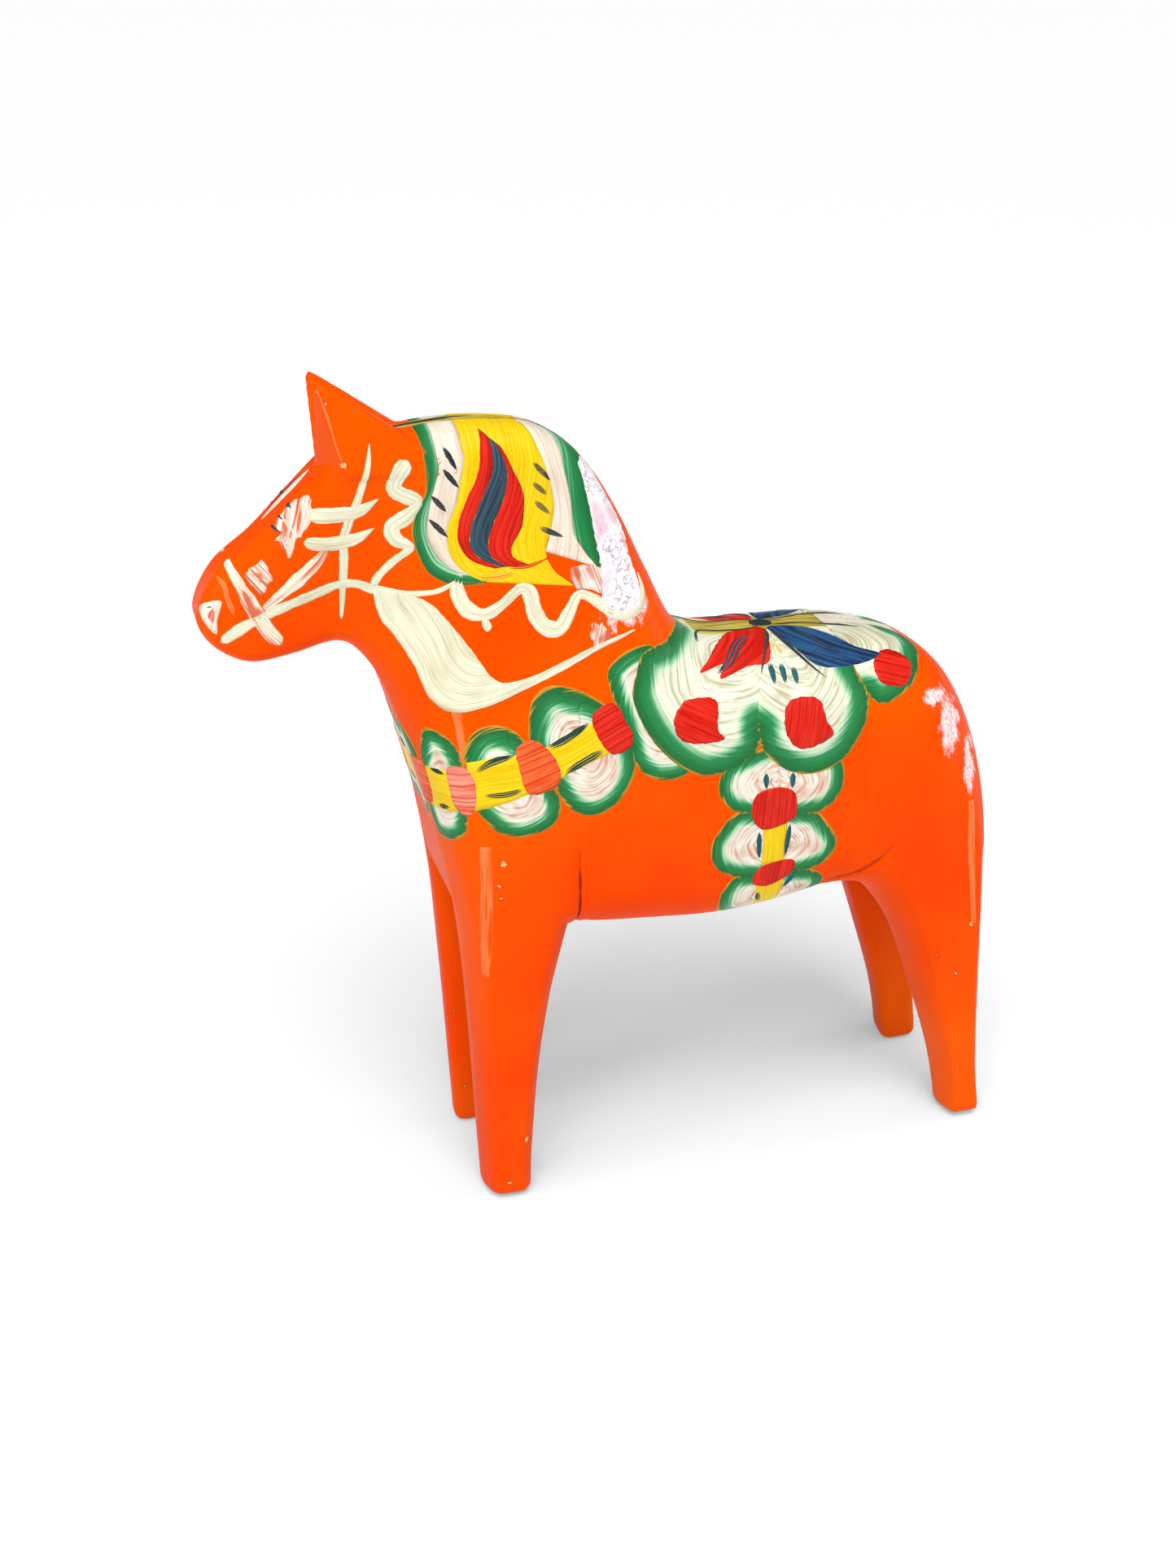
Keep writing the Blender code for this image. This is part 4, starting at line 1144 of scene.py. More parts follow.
class Graph:
    """A short way to add shader nodes."""

    def __init__(self, tree: bpy.types.NodeTree) -> None:
        """Keeps the tree that nodes go in."""
        self.tree = tree

    def put(self, kind: str, inputs: dict | None = None, out: int | str = 0,
            **settings: object) -> object:
        """Adds a node.

        Args:
            kind: Node type without the ShaderNode prefix.
            inputs: Values or sockets by input name or number.
            out: The output wanted.
            **settings: The node's own properties.

        Returns:
            The chosen output socket.
        """
        node = self.tree.nodes.new("ShaderNode" + kind)
        for key, value in settings.items():
            setattr(node, key, value)
        for key, value in (inputs or {}).items():
            if isinstance(value, bpy.types.NodeSocket):
                self.tree.links.new(value, node.inputs[key])
            else:
                node.inputs[key].default_value = value
        return node.outputs[out] if node.outputs else node

    def math(self, operation: str, a: object, b: object = 0.0, clamp: bool = False) -> object:
        """One Math node."""
        return self.put("Math", {0: a, 1: b}, operation=operation, use_clamp=clamp)

    def mix(self, factor: object, a: object, b: object) -> object:
        """A colour mix.

        Args:
            factor: Share of the second colour, as a value or socket.
            a: First colour.
            b: Second colour.

        Returns:
            The mixed colour socket.
        """
        node = self.tree.nodes.new("ShaderNodeMix")
        node.data_type = "RGBA"
        for key, value in ((0, factor), (6, a), (7, b)):
            if isinstance(value, bpy.types.NodeSocket):
                self.tree.links.new(value, node.inputs[key])
            else:
                node.inputs[key].default_value = value
        return node.outputs[2]

    def ramp(self, value: object, stops: list, ease: str = "LINEAR") -> object:
        """A colour ramp through (place, colour) stops.

        Args:
            value: The socket that drives the ramp.
            stops: The places and colours.
            ease: The ramp's interpolation.

        Returns:
            The colour socket.
        """
        node = self.tree.nodes.new("ShaderNodeValToRGB")
        node.color_ramp.interpolation = ease
        elements = node.color_ramp.elements
        for k, (place, colour) in enumerate(stops):
            element = elements[k] if k < 2 else elements.new(place)
            element.position, element.color = place, colour
        self.tree.links.new(value, node.inputs[0])
        return node.outputs[0]

    def scaled(self, vector: object, x: float, y: float, z: float) -> object:
        """A vector times a scale on each axis."""
        return self.put("VectorMath", {0: vector, 1: (x, y, z)}, operation="MULTIPLY")


def rgb(red: float, green: float, blue: float) -> tuple:
    """A colour from display values 0 to 255, as linear light."""
    def linear(value: float) -> float:
        """One display value as linear light."""
        share = value / 255
        return share / 12.92 if share <= 0.04045 else ((share + 0.055) / 1.055)**2.4
    return (linear(red), linear(green), linear(blue), 1.0)


def bristle_group() -> bpy.types.NodeTree:
    """Shared effect: streaks left by bristles.

    Streak is fine stretched noise along the brush's travel, high on the bristle ridges, where the paint turns
    lighter: partly paler paint, partly painted highlight. Ridge is its height, Fade is a slow change of paint
    thickness along the pull and Groove marks the furrows between bristles, where the paint turns darker:
    partly darker paint, partly painted shade.

    Returns:
        The node group, made once.
    """
    name = "bristle_streaks"
    if name in bpy.data.node_groups:
        return bpy.data.node_groups[name]
    tree = bpy.data.node_groups.new(name, "ShaderNodeTree")
    for label in ("Streak", "Ridge", "Fade", "Groove"):
        tree.interface.new_socket(label, in_out="OUTPUT", socket_type="NodeSocketFloat")
    g = Graph(tree)
    way = g.put("UVMap", uv_map="brush")
    fine = g.put("TexNoise", {"Vector": g.scaled(way, 3, 190, 1),
                              "Scale": 1.0, "Detail": 3.0, "Roughness": 0.6})
    coarse = g.put("TexNoise", {"Vector": g.scaled(way, 4, 130, 1), "Scale": 1.0, "Detail": 2.0})
    fade = g.put("TexNoise", {"Vector": g.scaled(way, 9, 22, 1), "Scale": 1.0, "Detail": 2.0})
    mixed = g.math("ADD", g.math("MULTIPLY", fine, 0.45), g.math("MULTIPLY", coarse, 0.55))
    streak = g.put("MapRange", {0: mixed, 1: 0.46, 2: 0.56, 3: 0.0, 4: 1.0})
    groove = g.put("MapRange", {0: mixed, 1: 0.485, 2: 0.43, 3: 0.0, 4: 1.0})
    end = tree.nodes.new("NodeGroupOutput")
    for label, socket in (("Streak", streak), ("Ridge", mixed), ("Fade", fade), ("Groove", groove)):
        tree.links.new(socket, end.inputs[label])
    return tree


def wear_group() -> bpy.types.NodeTree:
    """Shared effect: small knocks where paint has come away, and fine grime, from object coordinates.

    Returns:
        The node group, made once, with Chip, Grime and Skin outputs.
    """
    name = "handling_wear"
    if name in bpy.data.node_groups:
        return bpy.data.node_groups[name]
    tree = bpy.data.node_groups.new(name, "ShaderNodeTree")
    for label in ("Chip", "Grime", "Skin"):
        tree.interface.new_socket(label, in_out="OUTPUT", socket_type="NodeSocketFloat")
    g = Graph(tree)
    place = g.put("TexCoord", out="Object")
    spots = g.put("TexVoronoi", {"Vector": place, "Scale": 75.0, "Randomness": 1.0}, out="Distance")
    where = g.put("TexNoise", {"Vector": place, "Scale": 26.0, "Detail": 3.0})
    ragged = g.put("TexNoise", {"Vector": place, "Scale": 900.0, "Detail": 2.0})
    size = g.math("SUBTRACT", g.math("MULTIPLY", where, 0.5), 0.29)
    rough_size = g.math("ADD", size, g.math("MULTIPLY", g.math("SUBTRACT", ragged, 0.5), 0.05))
    chip = g.put("MapRange", {0: g.math("SUBTRACT", rough_size, spots), 1: 0.0, 2: 0.012, 3: 0.0, 4: 1.0})
    grime = g.put("TexNoise", {"Vector": place, "Scale": 60.0, "Detail": 6.0, "Roughness": 0.7})
    skin = g.put("TexNoise", {"Vector": place, "Scale": 420.0, "Detail": 3.0})
    end = tree.nodes.new("NodeGroupOutput")
    for label, socket in (("Chip", chip), ("Grime", grime), ("Skin", skin)):
        tree.links.new(socket, end.inputs[label])
    return tree


def curled_lines(g: Graph, place: object, scale: float) -> object:
    """Hair-thin curled lines, where a noise field passes its middle value.

    Args:
        g: The tree to add to.
        place: Coordinates socket.
        scale: Scale of the noise.

    Returns:
        A mask socket, one on the lines.
    """
    noise = g.put("TexNoise", {"Vector": place, "Scale": scale, "Detail": 3.0, "Roughness": 0.6})
    off = g.math("ABSOLUTE", g.math("SUBTRACT", noise, 0.5))
    return g.put("MapRange", {0: off, 1: 0.035, 2: 0.01, 3: 0.0, 4: 1.0})


@dataclass(frozen=True)
class Finish:
    """A finish by name, with the record's slot meant for it, which nothing here fills."""

    name: str
    slot: str

    def material(self) -> bpy.types.Material:
        """The finish's material, made once.

        Returns:
            The material.
        """
        found = bpy.data.materials.get(self.name)
        if found:
            return found
        made = bpy.data.materials.new(self.name)
        made.use_nodes = True
        made.node_tree.nodes.clear()
        graph = Graph(made.node_tree)
        shader = made.node_tree.nodes.new("ShaderNodeBsdfPrincipled")
        end = made.node_tree.nodes.new("ShaderNodeOutputMaterial")
        made.node_tree.links.new(shader.outputs[0], end.inputs[0])
        self.mix(graph, shader)
        return made

    def mix(self, g: Graph, shader: bpy.types.Node) -> None:
        """Fills the shader; each finish has its own."""


@dataclass(frozen=True)
class BrushPaint(Finish):
    """Oil paint from a stiff brush: body colour with darker and lighter streaks, ridged and glossy. The
    lighter streaks sit on the bristle ridges and some darker ones in the furrows: partly the paint's own
    streaks, partly painted highlight and painted shade.

    border is a ramp over the distance from the wet edge, in millimetres, for a brush loaded with two
    colours; without one the body colour runs to the edge.
    """

    body: tuple = (1, 1, 1, 1)
    dark: tuple = (0, 0, 0, 1)
    light: tuple = (1, 1, 1, 1)
    border: tuple = ()
    streak: float = 0.35
    relief: float = 0.12
    show_through: float = 0.0

    def mix(self, g: Graph, shader: bpy.types.Node) -> None:
        """Streaked colour, ridges from the bristles and small knocks.

        Args:
            g: The tree to add to.
            shader: The Principled node to feed.
        """
        bristle = g.tree.nodes.new("ShaderNodeGroup")
        bristle.node_tree = bristle_group()
        wear = g.tree.nodes.new("ShaderNodeGroup")
        wear.node_tree = wear_group()
        streak, ridge, fade, groove = (bristle.outputs[k] for k in ("Streak", "Ridge", "Fade", "Groove"))
        # Light colour on the bristle ridges, dark in the furrows: partly paint streaks, partly painted
        # highlight and shade.
        body = g.mix(g.math("MULTIPLY", streak, self.streak), self.body, self.light)
        deep = g.math("MULTIPLY", g.put("MapRange", {0: fade, 1: 0.5, 2: 0.75, 3: 0.0, 4: 1.0}), self.streak)
        body = g.mix(deep, body, self.dark)
        body = g.mix(g.math("MULTIPLY", groove, self.streak), body, self.dark)
        if self.show_through:
            worn = 0.62 - 0.22 * self.show_through
            thin = g.math("MULTIPLY", groove, g.put("MapRange", {0: fade, 1: worn - 0.12, 2: worn}))
            scraped = g.put("MapRange", {0: fade, 1: worn + 0.12, 2: worn + 0.2, 3: 0.0, 4: 1.0})
            thin = g.math("MAXIMUM", thin, scraped) if self.show_through > 0.5 else thin
            body = g.mix(g.math("MULTIPLY", thin, self.show_through), body, rgb(226, 92, 50))
        if self.border:
            edge = g.put("Attribute", out="Fac", attribute_name="load")
            shaken = g.math("ADD", edge, g.math("MULTIPLY", g.math("SUBTRACT", ridge, 0.5), 6.0))
            near = g.math("MULTIPLY", edge, 2.0, clamp=True)
            measured = g.math("ADD", g.math("MULTIPLY", shaken, near),
                              g.math("MULTIPLY", edge, g.math("SUBTRACT", 1.0, near)))
            reach = self.border[-1][0]
            share = g.math("DIVIDE", measured, reach)
            stops = [(place / reach, colour) for place, colour in self.border]
            shade = g.ramp(share, stops)
            inside = g.put("MapRange", {0: measured, 1: reach * 0.82, 2: reach, 3: 0.0, 4: 1.0})
            body = g.mix(inside, shade, body)
        colour = g.mix(g.math("MULTIPLY", wear.outputs["Grime"], 0.10), body, rgb(150, 120, 84))
        g.tree.links.new(colour, shader.inputs["Base Color"])
        rough = g.put("MapRange", {0: fade, 1: 0.3, 2: 0.7, 3: 0.26, 4: 0.42})
        g.tree.links.new(rough, shader.inputs["Roughness"])
        bump = g.put("Bump", {"Height": ridge, "Distance": 0.0006, "Strength": self.relief * 4})
        g.tree.links.new(bump, shader.inputs["Normal"])
        shader.inputs["Specular IOR Level"].default_value = 0.08
        shader.inputs["Coat Weight"].default_value = 0.05
        shader.inputs["Coat Roughness"].default_value = 0.1


@dataclass(frozen=True)
class Enamel(Finish):
    """Thick orange-red enamel brushed over sanded wood, knocked in places, milky varnish and painted
    highlight in others.
    """

    def mix(self, g: Graph, shader: bpy.types.Node) -> None:
        """Warm colour drift, soft brush lines, named chips down to primer and a clear glossy coat.

        Args:
            g: The tree to add to.
            shader: The Principled node to feed.
        """
        wear = g.tree.nodes.new("ShaderNodeGroup")
        wear.node_tree = wear_group()
        place = g.put("TexCoord", out="Object")
        drift = g.put("TexNoise", {"Vector": place, "Scale": 14.0, "Detail": 3.0})
        brushed = g.put("TexNoise", {"Vector": g.scaled(place, 260, 260, 30), "Scale": 1.0, "Detail": 3.0})
        colour = g.mix(g.put("MapRange", {0: drift, 1: 0.35, 2: 0.65}), rgb(250, 70, 0), rgb(255, 92, 0))
        colour = g.mix(g.put("MapRange", {0: brushed, 1: 0.45, 2: 0.8, 3: 0.0, 4: 0.2}),
                       colour, rgb(240, 54, 0))
        ragged = g.put("TexNoise", {"Vector": place, "Scale": 1500.0, "Detail": 2.0})
        wobble = g.math("MULTIPLY", g.math("SUBTRACT", ragged, 0.5), 0.0014)
        nearest = None
        for spot, size in CHIPS:
            away = g.put("VectorMath", {0: place, 1: tuple(to_frame(np.array(spot)))}, out="Value",
                         operation="DISTANCE")
            gap = g.math("SUBTRACT", away, size * MILLIMETRE)
            nearest = gap if nearest is None else g.math("MINIMUM", nearest, gap)
        torn = g.math("ADD", nearest, wobble)
        chip = g.put("MapRange", {0: torn, 1: 0.0001, 2: -0.0001, 3: 0.0, 4: 1.0})
        rim = g.put("MapRange", {0: torn, 1: 0.0006, 2: 0.0001, 3: 0.0, 4: 0.7})
        small = wear.outputs["Chip"]
        colour = g.mix(rim, colour, rgb(196, 52, 10))
        colour = g.mix(g.math("MAXIMUM", chip, small), colour, rgb(246, 184, 130))
        colour = g.mix(g.math("MULTIPLY", wear.outputs["Grime"], 0.05), colour, rgb(120, 40, 10))
        # Darker lines along the opened seam behind the foreleg and the hind leg's fold.
        colour = g.mix(self.dark_seam_and_fold_lines(g, place), colour, rgb(120, 18, 0))
        # Pale patches on the neck and rump: partly milky varnish, partly painted highlight, with scratches.
        bloom_and_highlight, scratch = self.bloom_and_highlight(g, place)
        pale = g.mix(g.math("MULTIPLY", scratch, 0.7), rgb(252, 240, 240), rgb(214, 120, 130))
        colour = g.mix(bloom_and_highlight, colour, pale)
        g.tree.links.new(colour, shader.inputs["Base Color"])
        rough = g.put("MapRange", {0: wear.outputs["Grime"], 1: 0.3, 2: 0.7, 3: 0.36, 4: 0.5})
        g.tree.links.new(rough, shader.inputs["Roughness"])
        height = g.math("ADD", g.math("MULTIPLY", brushed, 0.5), g.math("MULTIPLY", wear.outputs["Skin"],
                                                                        0.3))
        height = g.math("SUBTRACT", height, g.math("MULTIPLY", chip, 1.6))
        height = g.math("SUBTRACT", height, g.math("MULTIPLY", g.math("MULTIPLY", bloom_and_highlight, scratch), 1.2))
        bump = g.put("Bump", {"Height": height, "Distance": 0.00035, "Strength": 0.35})
        g.tree.links.new(bump, shader.inputs["Normal"])
        shader.inputs["Specular IOR Level"].default_value = 0.03
        shader.inputs["Specular Tint"].default_value = (1.0, 0.5, 0.25, 1.0)
        shader.inputs["Coat Weight"].default_value = 0.04
        shader.inputs["Coat Roughness"].default_value = 0.08

    @staticmethod
    def dark_seam_and_fold_lines(g: Graph, place: object) -> object:
        """Dark, slightly uneven lines in the opened seam behind the foreleg and in the hind leg's fold.

        Args:
            g: The tree to add to.
            place: Object coordinates socket.

        Returns:
            A mask socket, one where the line is darkest.
        """
        split = g.tree.nodes.new("ShaderNodeSeparateXYZ")
        g.tree.links.new(place, split.inputs[0])
        x, y, z = split.outputs
        shake = g.put("TexNoise", {"Vector": place, "Scale": 240.0, "Detail": 2.0})
        lean = g.math("MULTIPLY", g.math("SUBTRACT", 0.118, z), 0.02)
        seam_x = NOSE_X + SEAM_OPENS_U * MILLIMETRE
        off = g.math("ABSOLUTE", g.math("SUBTRACT", g.math("SUBTRACT", x, seam_x), lean))
        off = g.math("ADD", off, g.math("MULTIPLY", g.math("SUBTRACT", shake, 0.5), 0.0012))
        line = g.put("MapRange", {0: off, 1: 0.0005, 2: 0.0001, 3: 0.0, 4: 0.85})
        seam = g.math("MULTIPLY", line, g.put("MapRange", {0: z, 1: 0.121, 2: 0.112, 3: 0.0, 4: 1.0}))
        past = g.math("MAXIMUM", g.math("SUBTRACT", x, NOSE_X + FOLD_START[0] * MILLIMETRE), 0.0)
        rise = g.math("MULTIPLY", g.math("MULTIPLY", past, past), FOLD_RISE / MILLIMETRE)
        climbed = g.math("SUBTRACT", z, FOLD_START[1] * MILLIMETRE)
        above = g.math("ABSOLUTE", g.math("SUBTRACT", climbed, rise))
        above = g.math("ADD", above, g.math("MULTIPLY", g.math("SUBTRACT", shake, 0.5), 0.0014))
        crease = g.put("MapRange", {0: above, 1: 0.0010, 2: 0.0001, 3: 0.0, 4: 0.5})
        enters = g.put("MapRange", {0: x, 1: NOSE_X + 0.170, 2: NOSE_X + 0.178, 3: 0.0, 4: 1.0})
        leaves = g.put("MapRange", {0: x, 1: NOSE_X + 0.194, 2: NOSE_X + 0.187, 3: 0.0, 4: 1.0})
        fold = g.math("MULTIPLY", crease, g.math("MULTIPLY", enters, leaves))
        outer = g.put("MapRange", {0: g.math("ABSOLUTE", y), 1: 0.024, 2: 0.028, 3: 0.0, 4: 1.0})
        return g.math("MULTIPLY", g.math("MAXIMUM", seam, fold), outer)

    @staticmethod
    def bloom_and_highlight(g: Graph, place: object) -> tuple:
        """Painted highlight mixed with milky, worn varnish where hands held the horse, broken up by
        scratches.

        Each spot is (u, z, half width, half height) in template millimetres; its strength falls from one
        in the middle to zero at the rim and is then cut to ragged islands by noise.

        Args:
            g: The tree to add to.
            place: Object coordinates socket.

        Returns:
            The bloom mask and the scratch mask.
        """
        ragged = g.put("TexNoise", {"Vector": g.scaled(place, 1, 1, 0.5), "Scale": 170.0, "Detail": 5.0,
                                    "Roughness": 0.7})
        most = None
        for u, z, wide, high in BLOOM_AND_HIGHLIGHT:
            spot = (-(NOSE_X + u * MILLIMETRE) / (wide * MILLIMETRE), 0.0, -z / high)
            stretch = (1 / (wide * MILLIMETRE), 0.0, 1 / (high * MILLIMETRE))
            flat = g.put("VectorMath", {0: place, 1: stretch, 2: spot}, operation="MULTIPLY_ADD")
            away = g.put("VectorMath", {0: flat}, out="Value", operation="LENGTH")
            strength = g.math("SUBTRACT", 1.0, away)
            most = strength if most is None else g.math("MAXIMUM", most, strength)
        cut = g.math("ADD", most, g.math("MULTIPLY", g.math("SUBTRACT", ragged, 0.5), 2.6))
        mask = g.put("MapRange", {0: cut, 1: 0.22, 2: 0.5, 3: 0.0, 4: 0.9})
        inside = g.put("MapRange", {0: most, 1: 0.0, 2: 0.12, 3: 0.0, 4: 1.0})
        return g.math("MULTIPLY", mask, inside), curled_lines(g, place, 420.0)


@dataclass(frozen=True)
class MilkyVarnishAndHighlight(Finish):
    """Milky varnish and painted highlight, with hair-thin curled scratches, pink stains and small orange
    breaks.
    """

    def mix(self, g: Graph, shader: bpy.types.Node) -> None:
        """White haze, partly painted highlight, then stains, scratches and breaks over it.

        Args:
            g: The tree to add to.
            shader: The Principled node to feed.
        """
        place = g.put("TexCoord", out="Object")
        stain = g.put("TexNoise", {"Vector": place, "Scale": 105.0, "Detail": 3.0})
        gone = g.put("TexNoise", {"Vector": g.scaled(place, 1, 1, 0.5), "Scale": 260.0, "Detail": 5.0,
                                  "Roughness": 0.7})
        scratch = curled_lines(g, place, 270.0)
        pink = g.put("MapRange", {0: stain, 1: 0.55, 2: 0.66, 3: 0.0, 4: 0.5})
        colour = g.mix(pink, rgb(253, 250, 252), rgb(236, 160, 184))
        gathered = g.put("MapRange", {0: stain, 1: 0.42, 2: 0.56, 3: 0.8, 4: 0.1})
        colour = g.mix(g.math("MULTIPLY", scratch, gathered), colour, rgb(166, 140, 170))
        colour = g.mix(g.put("MapRange", {0: gone, 1: 0.61, 2: 0.65, 3: 0.0, 4: 0.8}),
                       colour, rgb(238, 100, 60))
        g.tree.links.new(colour, shader.inputs["Base Color"])
        shader.inputs["Roughness"].default_value = 0.35
        bump = g.put("Bump", {"Height": scratch, "Distance": 0.0002, "Strength": 0.3}, invert=True)
        g.tree.links.new(bump, shader.inputs["Normal"])
        shader.inputs["Specular IOR Level"].default_value = 0.4
        shader.inputs["Coat Weight"].default_value = 0.4
        shader.inputs["Coat Roughness"].default_value = 0.1


@dataclass(frozen=True)
class TurnedBirch(Finish):
    """Pale dowel wood with grain along its length."""

    def mix(self, g: Graph, shader: bpy.types.Node) -> None:
        """Grain runs across the horse, as the dowels do.

        Args:
            g: The tree to add to.
            shader: The Principled node to feed.
        """
        place = g.put("TexCoord", out="Object")
        grain = g.put("TexNoise", {"Vector": g.scaled(place, 900, 60, 900), "Scale": 1.0, "Detail": 4.0})
        colour = g.mix(grain, rgb(196, 154, 104), rgb(230, 200, 154))
        g.tree.links.new(colour, shader.inputs["Base Color"])
        shader.inputs["Roughness"].default_value = 0.6
        bump = g.put("Bump", {"Height": grain, "Distance": 0.0003, "Strength": 0.3})
        g.tree.links.new(bump, shader.inputs["Normal"])


# Pale patches, milky varnish and painted highlight: (u, z, half width, half height) in template millimetres.
BLOOM_AND_HIGHLIGHT = [(113.0, 186.0, 9.0, 9.0), (107.0, 221.0, 5.0, 6.0), (211.0, 141.0, 6.0, 13.0),
         (218.0, 128.0, 4.0, 12.0), (206.0, 150.0, 6.0, 3.0)]

# Knocks in the enamel: (u, y, z) on the surface, and size in millimetres.
CHIPS = [((74.0, -34.0, 118.5), 0.8), ((72.5, -34.0, 112.0), 0.5), ((73.0, -34.0, 108.0), 0.4),
         ((71.5, 15.0, 14.5), 0.5), ((69.0, 15.0, 43.5), 0.4), ((80.5, -29.5, 22.0), 0.9),
         ((75.0, -28.0, 6.5), 0.5), ((211.0, -33.0, 66.0), 0.5), ((218.5, -33.0, 58.0), 0.5),
         ((222.0, -34.0, 75.5), 0.9), ((36.5, -9.6, 243.0), 0.7), ((37.6, -11.0, 236.0), 0.5),
         ((39.5, -13.0, 228.0), 0.8), ((34.0, -8.0, 246.0), 0.5), ((215.0, 34.0, 70.0), 0.7),
         ((76.0, 29.5, 30.0), 0.6)]

GREEN_EDGE = ((0.0, rgb(214, 150, 40)), (0.28, rgb(170, 140, 40)), (0.5, rgb(10, 104, 56)),
              (1.6, rgb(16, 122, 64)), (3.0, rgb(34, 142, 82)), (3.7, rgb(116, 188, 142)),
              (4.5, rgb(206, 230, 196)), (5.4, rgb(238, 240, 214)))

WIDE_EDGE = tuple((place if place < 1 else 1.5 * place, colour) for place, colour in GREEN_EDGE)

FINISHES = {
    Paint.CREAM: BrushPaint("brushed_cream", "cream_paint", rgb(242, 240, 208), rgb(196, 184, 144),
                            rgb(250, 249, 230), (), 0.36, 0.22, 0.10),
    Paint.IVORY: BrushPaint("brushed_ivory", "cream_paint", rgb(240, 228, 208), rgb(226, 200, 180),
                            rgb(250, 246, 232), (), 0.5, 0.10, 0.18),
    Paint.WORN: BrushPaint("rubbed_cream", "cream_paint", rgb(242, 232, 206), rgb(220, 176, 140),
                           rgb(250, 246, 232), (), 0.6, 0.14, 0.9),
    Paint.PETAL: BrushPaint("double_loaded_petal", "cream_paint", rgb(236, 238, 210), rgb(170, 184, 146),
                            rgb(250, 250, 234), WIDE_EDGE, 0.7, 0.22, 0.25),
    Paint.BLUSH: BrushPaint("double_loaded_blush", "cream_paint", rgb(244, 232, 214), rgb(212, 160, 134),
                            rgb(252, 248, 238), GREEN_EDGE, 0.7, 0.22, 0.35),
    Paint.GREEN: BrushPaint("double_loaded_green", "green_paint", rgb(150, 206, 160), rgb(80, 170, 110),
                            rgb(214, 232, 204), GREEN_EDGE[:7], 0.4, 0.12, 0.0),
    Paint.YELLOW: BrushPaint("chrome_yellow", "yellow_paint", rgb(248, 208, 0), rgb(226, 178, 0),
                             rgb(255, 228, 60), (), 0.4, 0.08, 0.0),
    Paint.OLIVE: BrushPaint("olive_yellow", "yellow_paint", rgb(196, 172, 34), rgb(96, 92, 40),
                            rgb(232, 222, 130), (), 0.7, 0.10, 0.15),
    Paint.RED: BrushPaint("signal_red", "red_paint", rgb(226, 12, 6), rgb(176, 2, 2),
                          rgb(242, 62, 42), (), 0.5, 0.3, 0.0),
    Paint.KNOT: BrushPaint("orange_knot", "red_paint", rgb(240, 74, 24), rgb(214, 44, 14),
                           rgb(250, 140, 80), (), 0.5, 0.20, 0.0),
    Paint.CORAL: BrushPaint("coral_wash", "red_paint", rgb(240, 110, 84), rgb(226, 70, 44),
                            rgb(250, 176, 156), (), 0.7, 0.16, 0.0),
    Paint.BLUE: BrushPaint("cornflower_blue", "blue_paint", rgb(0, 52, 100), rgb(0, 24, 56),
                           rgb(36, 108, 156), (), 0.6, 0.2, 0.0),
    Paint.NAVY: BrushPaint("petrol_navy", "blue_paint", rgb(34, 66, 84), rgb(16, 36, 52),
                           rgb(70, 112, 128), (), 0.5, 0.14, 0.0),
    Paint.LEAF: BrushPaint("bottle_green", "green_paint", rgb(14, 62, 58), rgb(8, 38, 42),
                           rgb(60, 120, 96), (), 0.3, 0.16, 0.0),
    Paint.INK: BrushPaint("lamp_black", "blue_paint", rgb(44, 52, 58), rgb(22, 24, 30),
                          rgb(100, 106, 108), (), 0.4, 0.12, 0.0),
    Paint.TEAL: BrushPaint("teal_dash", "blue_paint", rgb(6, 88, 98), rgb(6, 58, 70),
                           rgb(60, 140, 136), (), 0.3, 0.14, 0.0),
    Paint.GREY: BrushPaint("worn_scumble", "cream_paint", rgb(238, 200, 176), rgb(186, 104, 76),
                           rgb(252, 244, 236), (), 0.9, 0.20, 0.8),
    # Pale orange for painted highlights along knife edges and for orange streaks at the eye and nostril.
    Paint.RUBBED: BrushPaint("rubbed_orange", "orange_enamel", rgb(254, 116, 40), rgb(252, 92, 12),
                             rgb(252, 150, 100), (), 0.5, 0.04, 0.0),
    # Milky varnish and painted highlight.
    Paint.MILKY: MilkyVarnishAndHighlight("milky_varnish", "orange_enamel"),
}
ENAMEL = Enamel("orange_enamel_gloss", "orange_enamel")
BIRCH = TurnedBirch("turned_birch", "bare_dowel")


# ---------------------------------------------------------------- carving


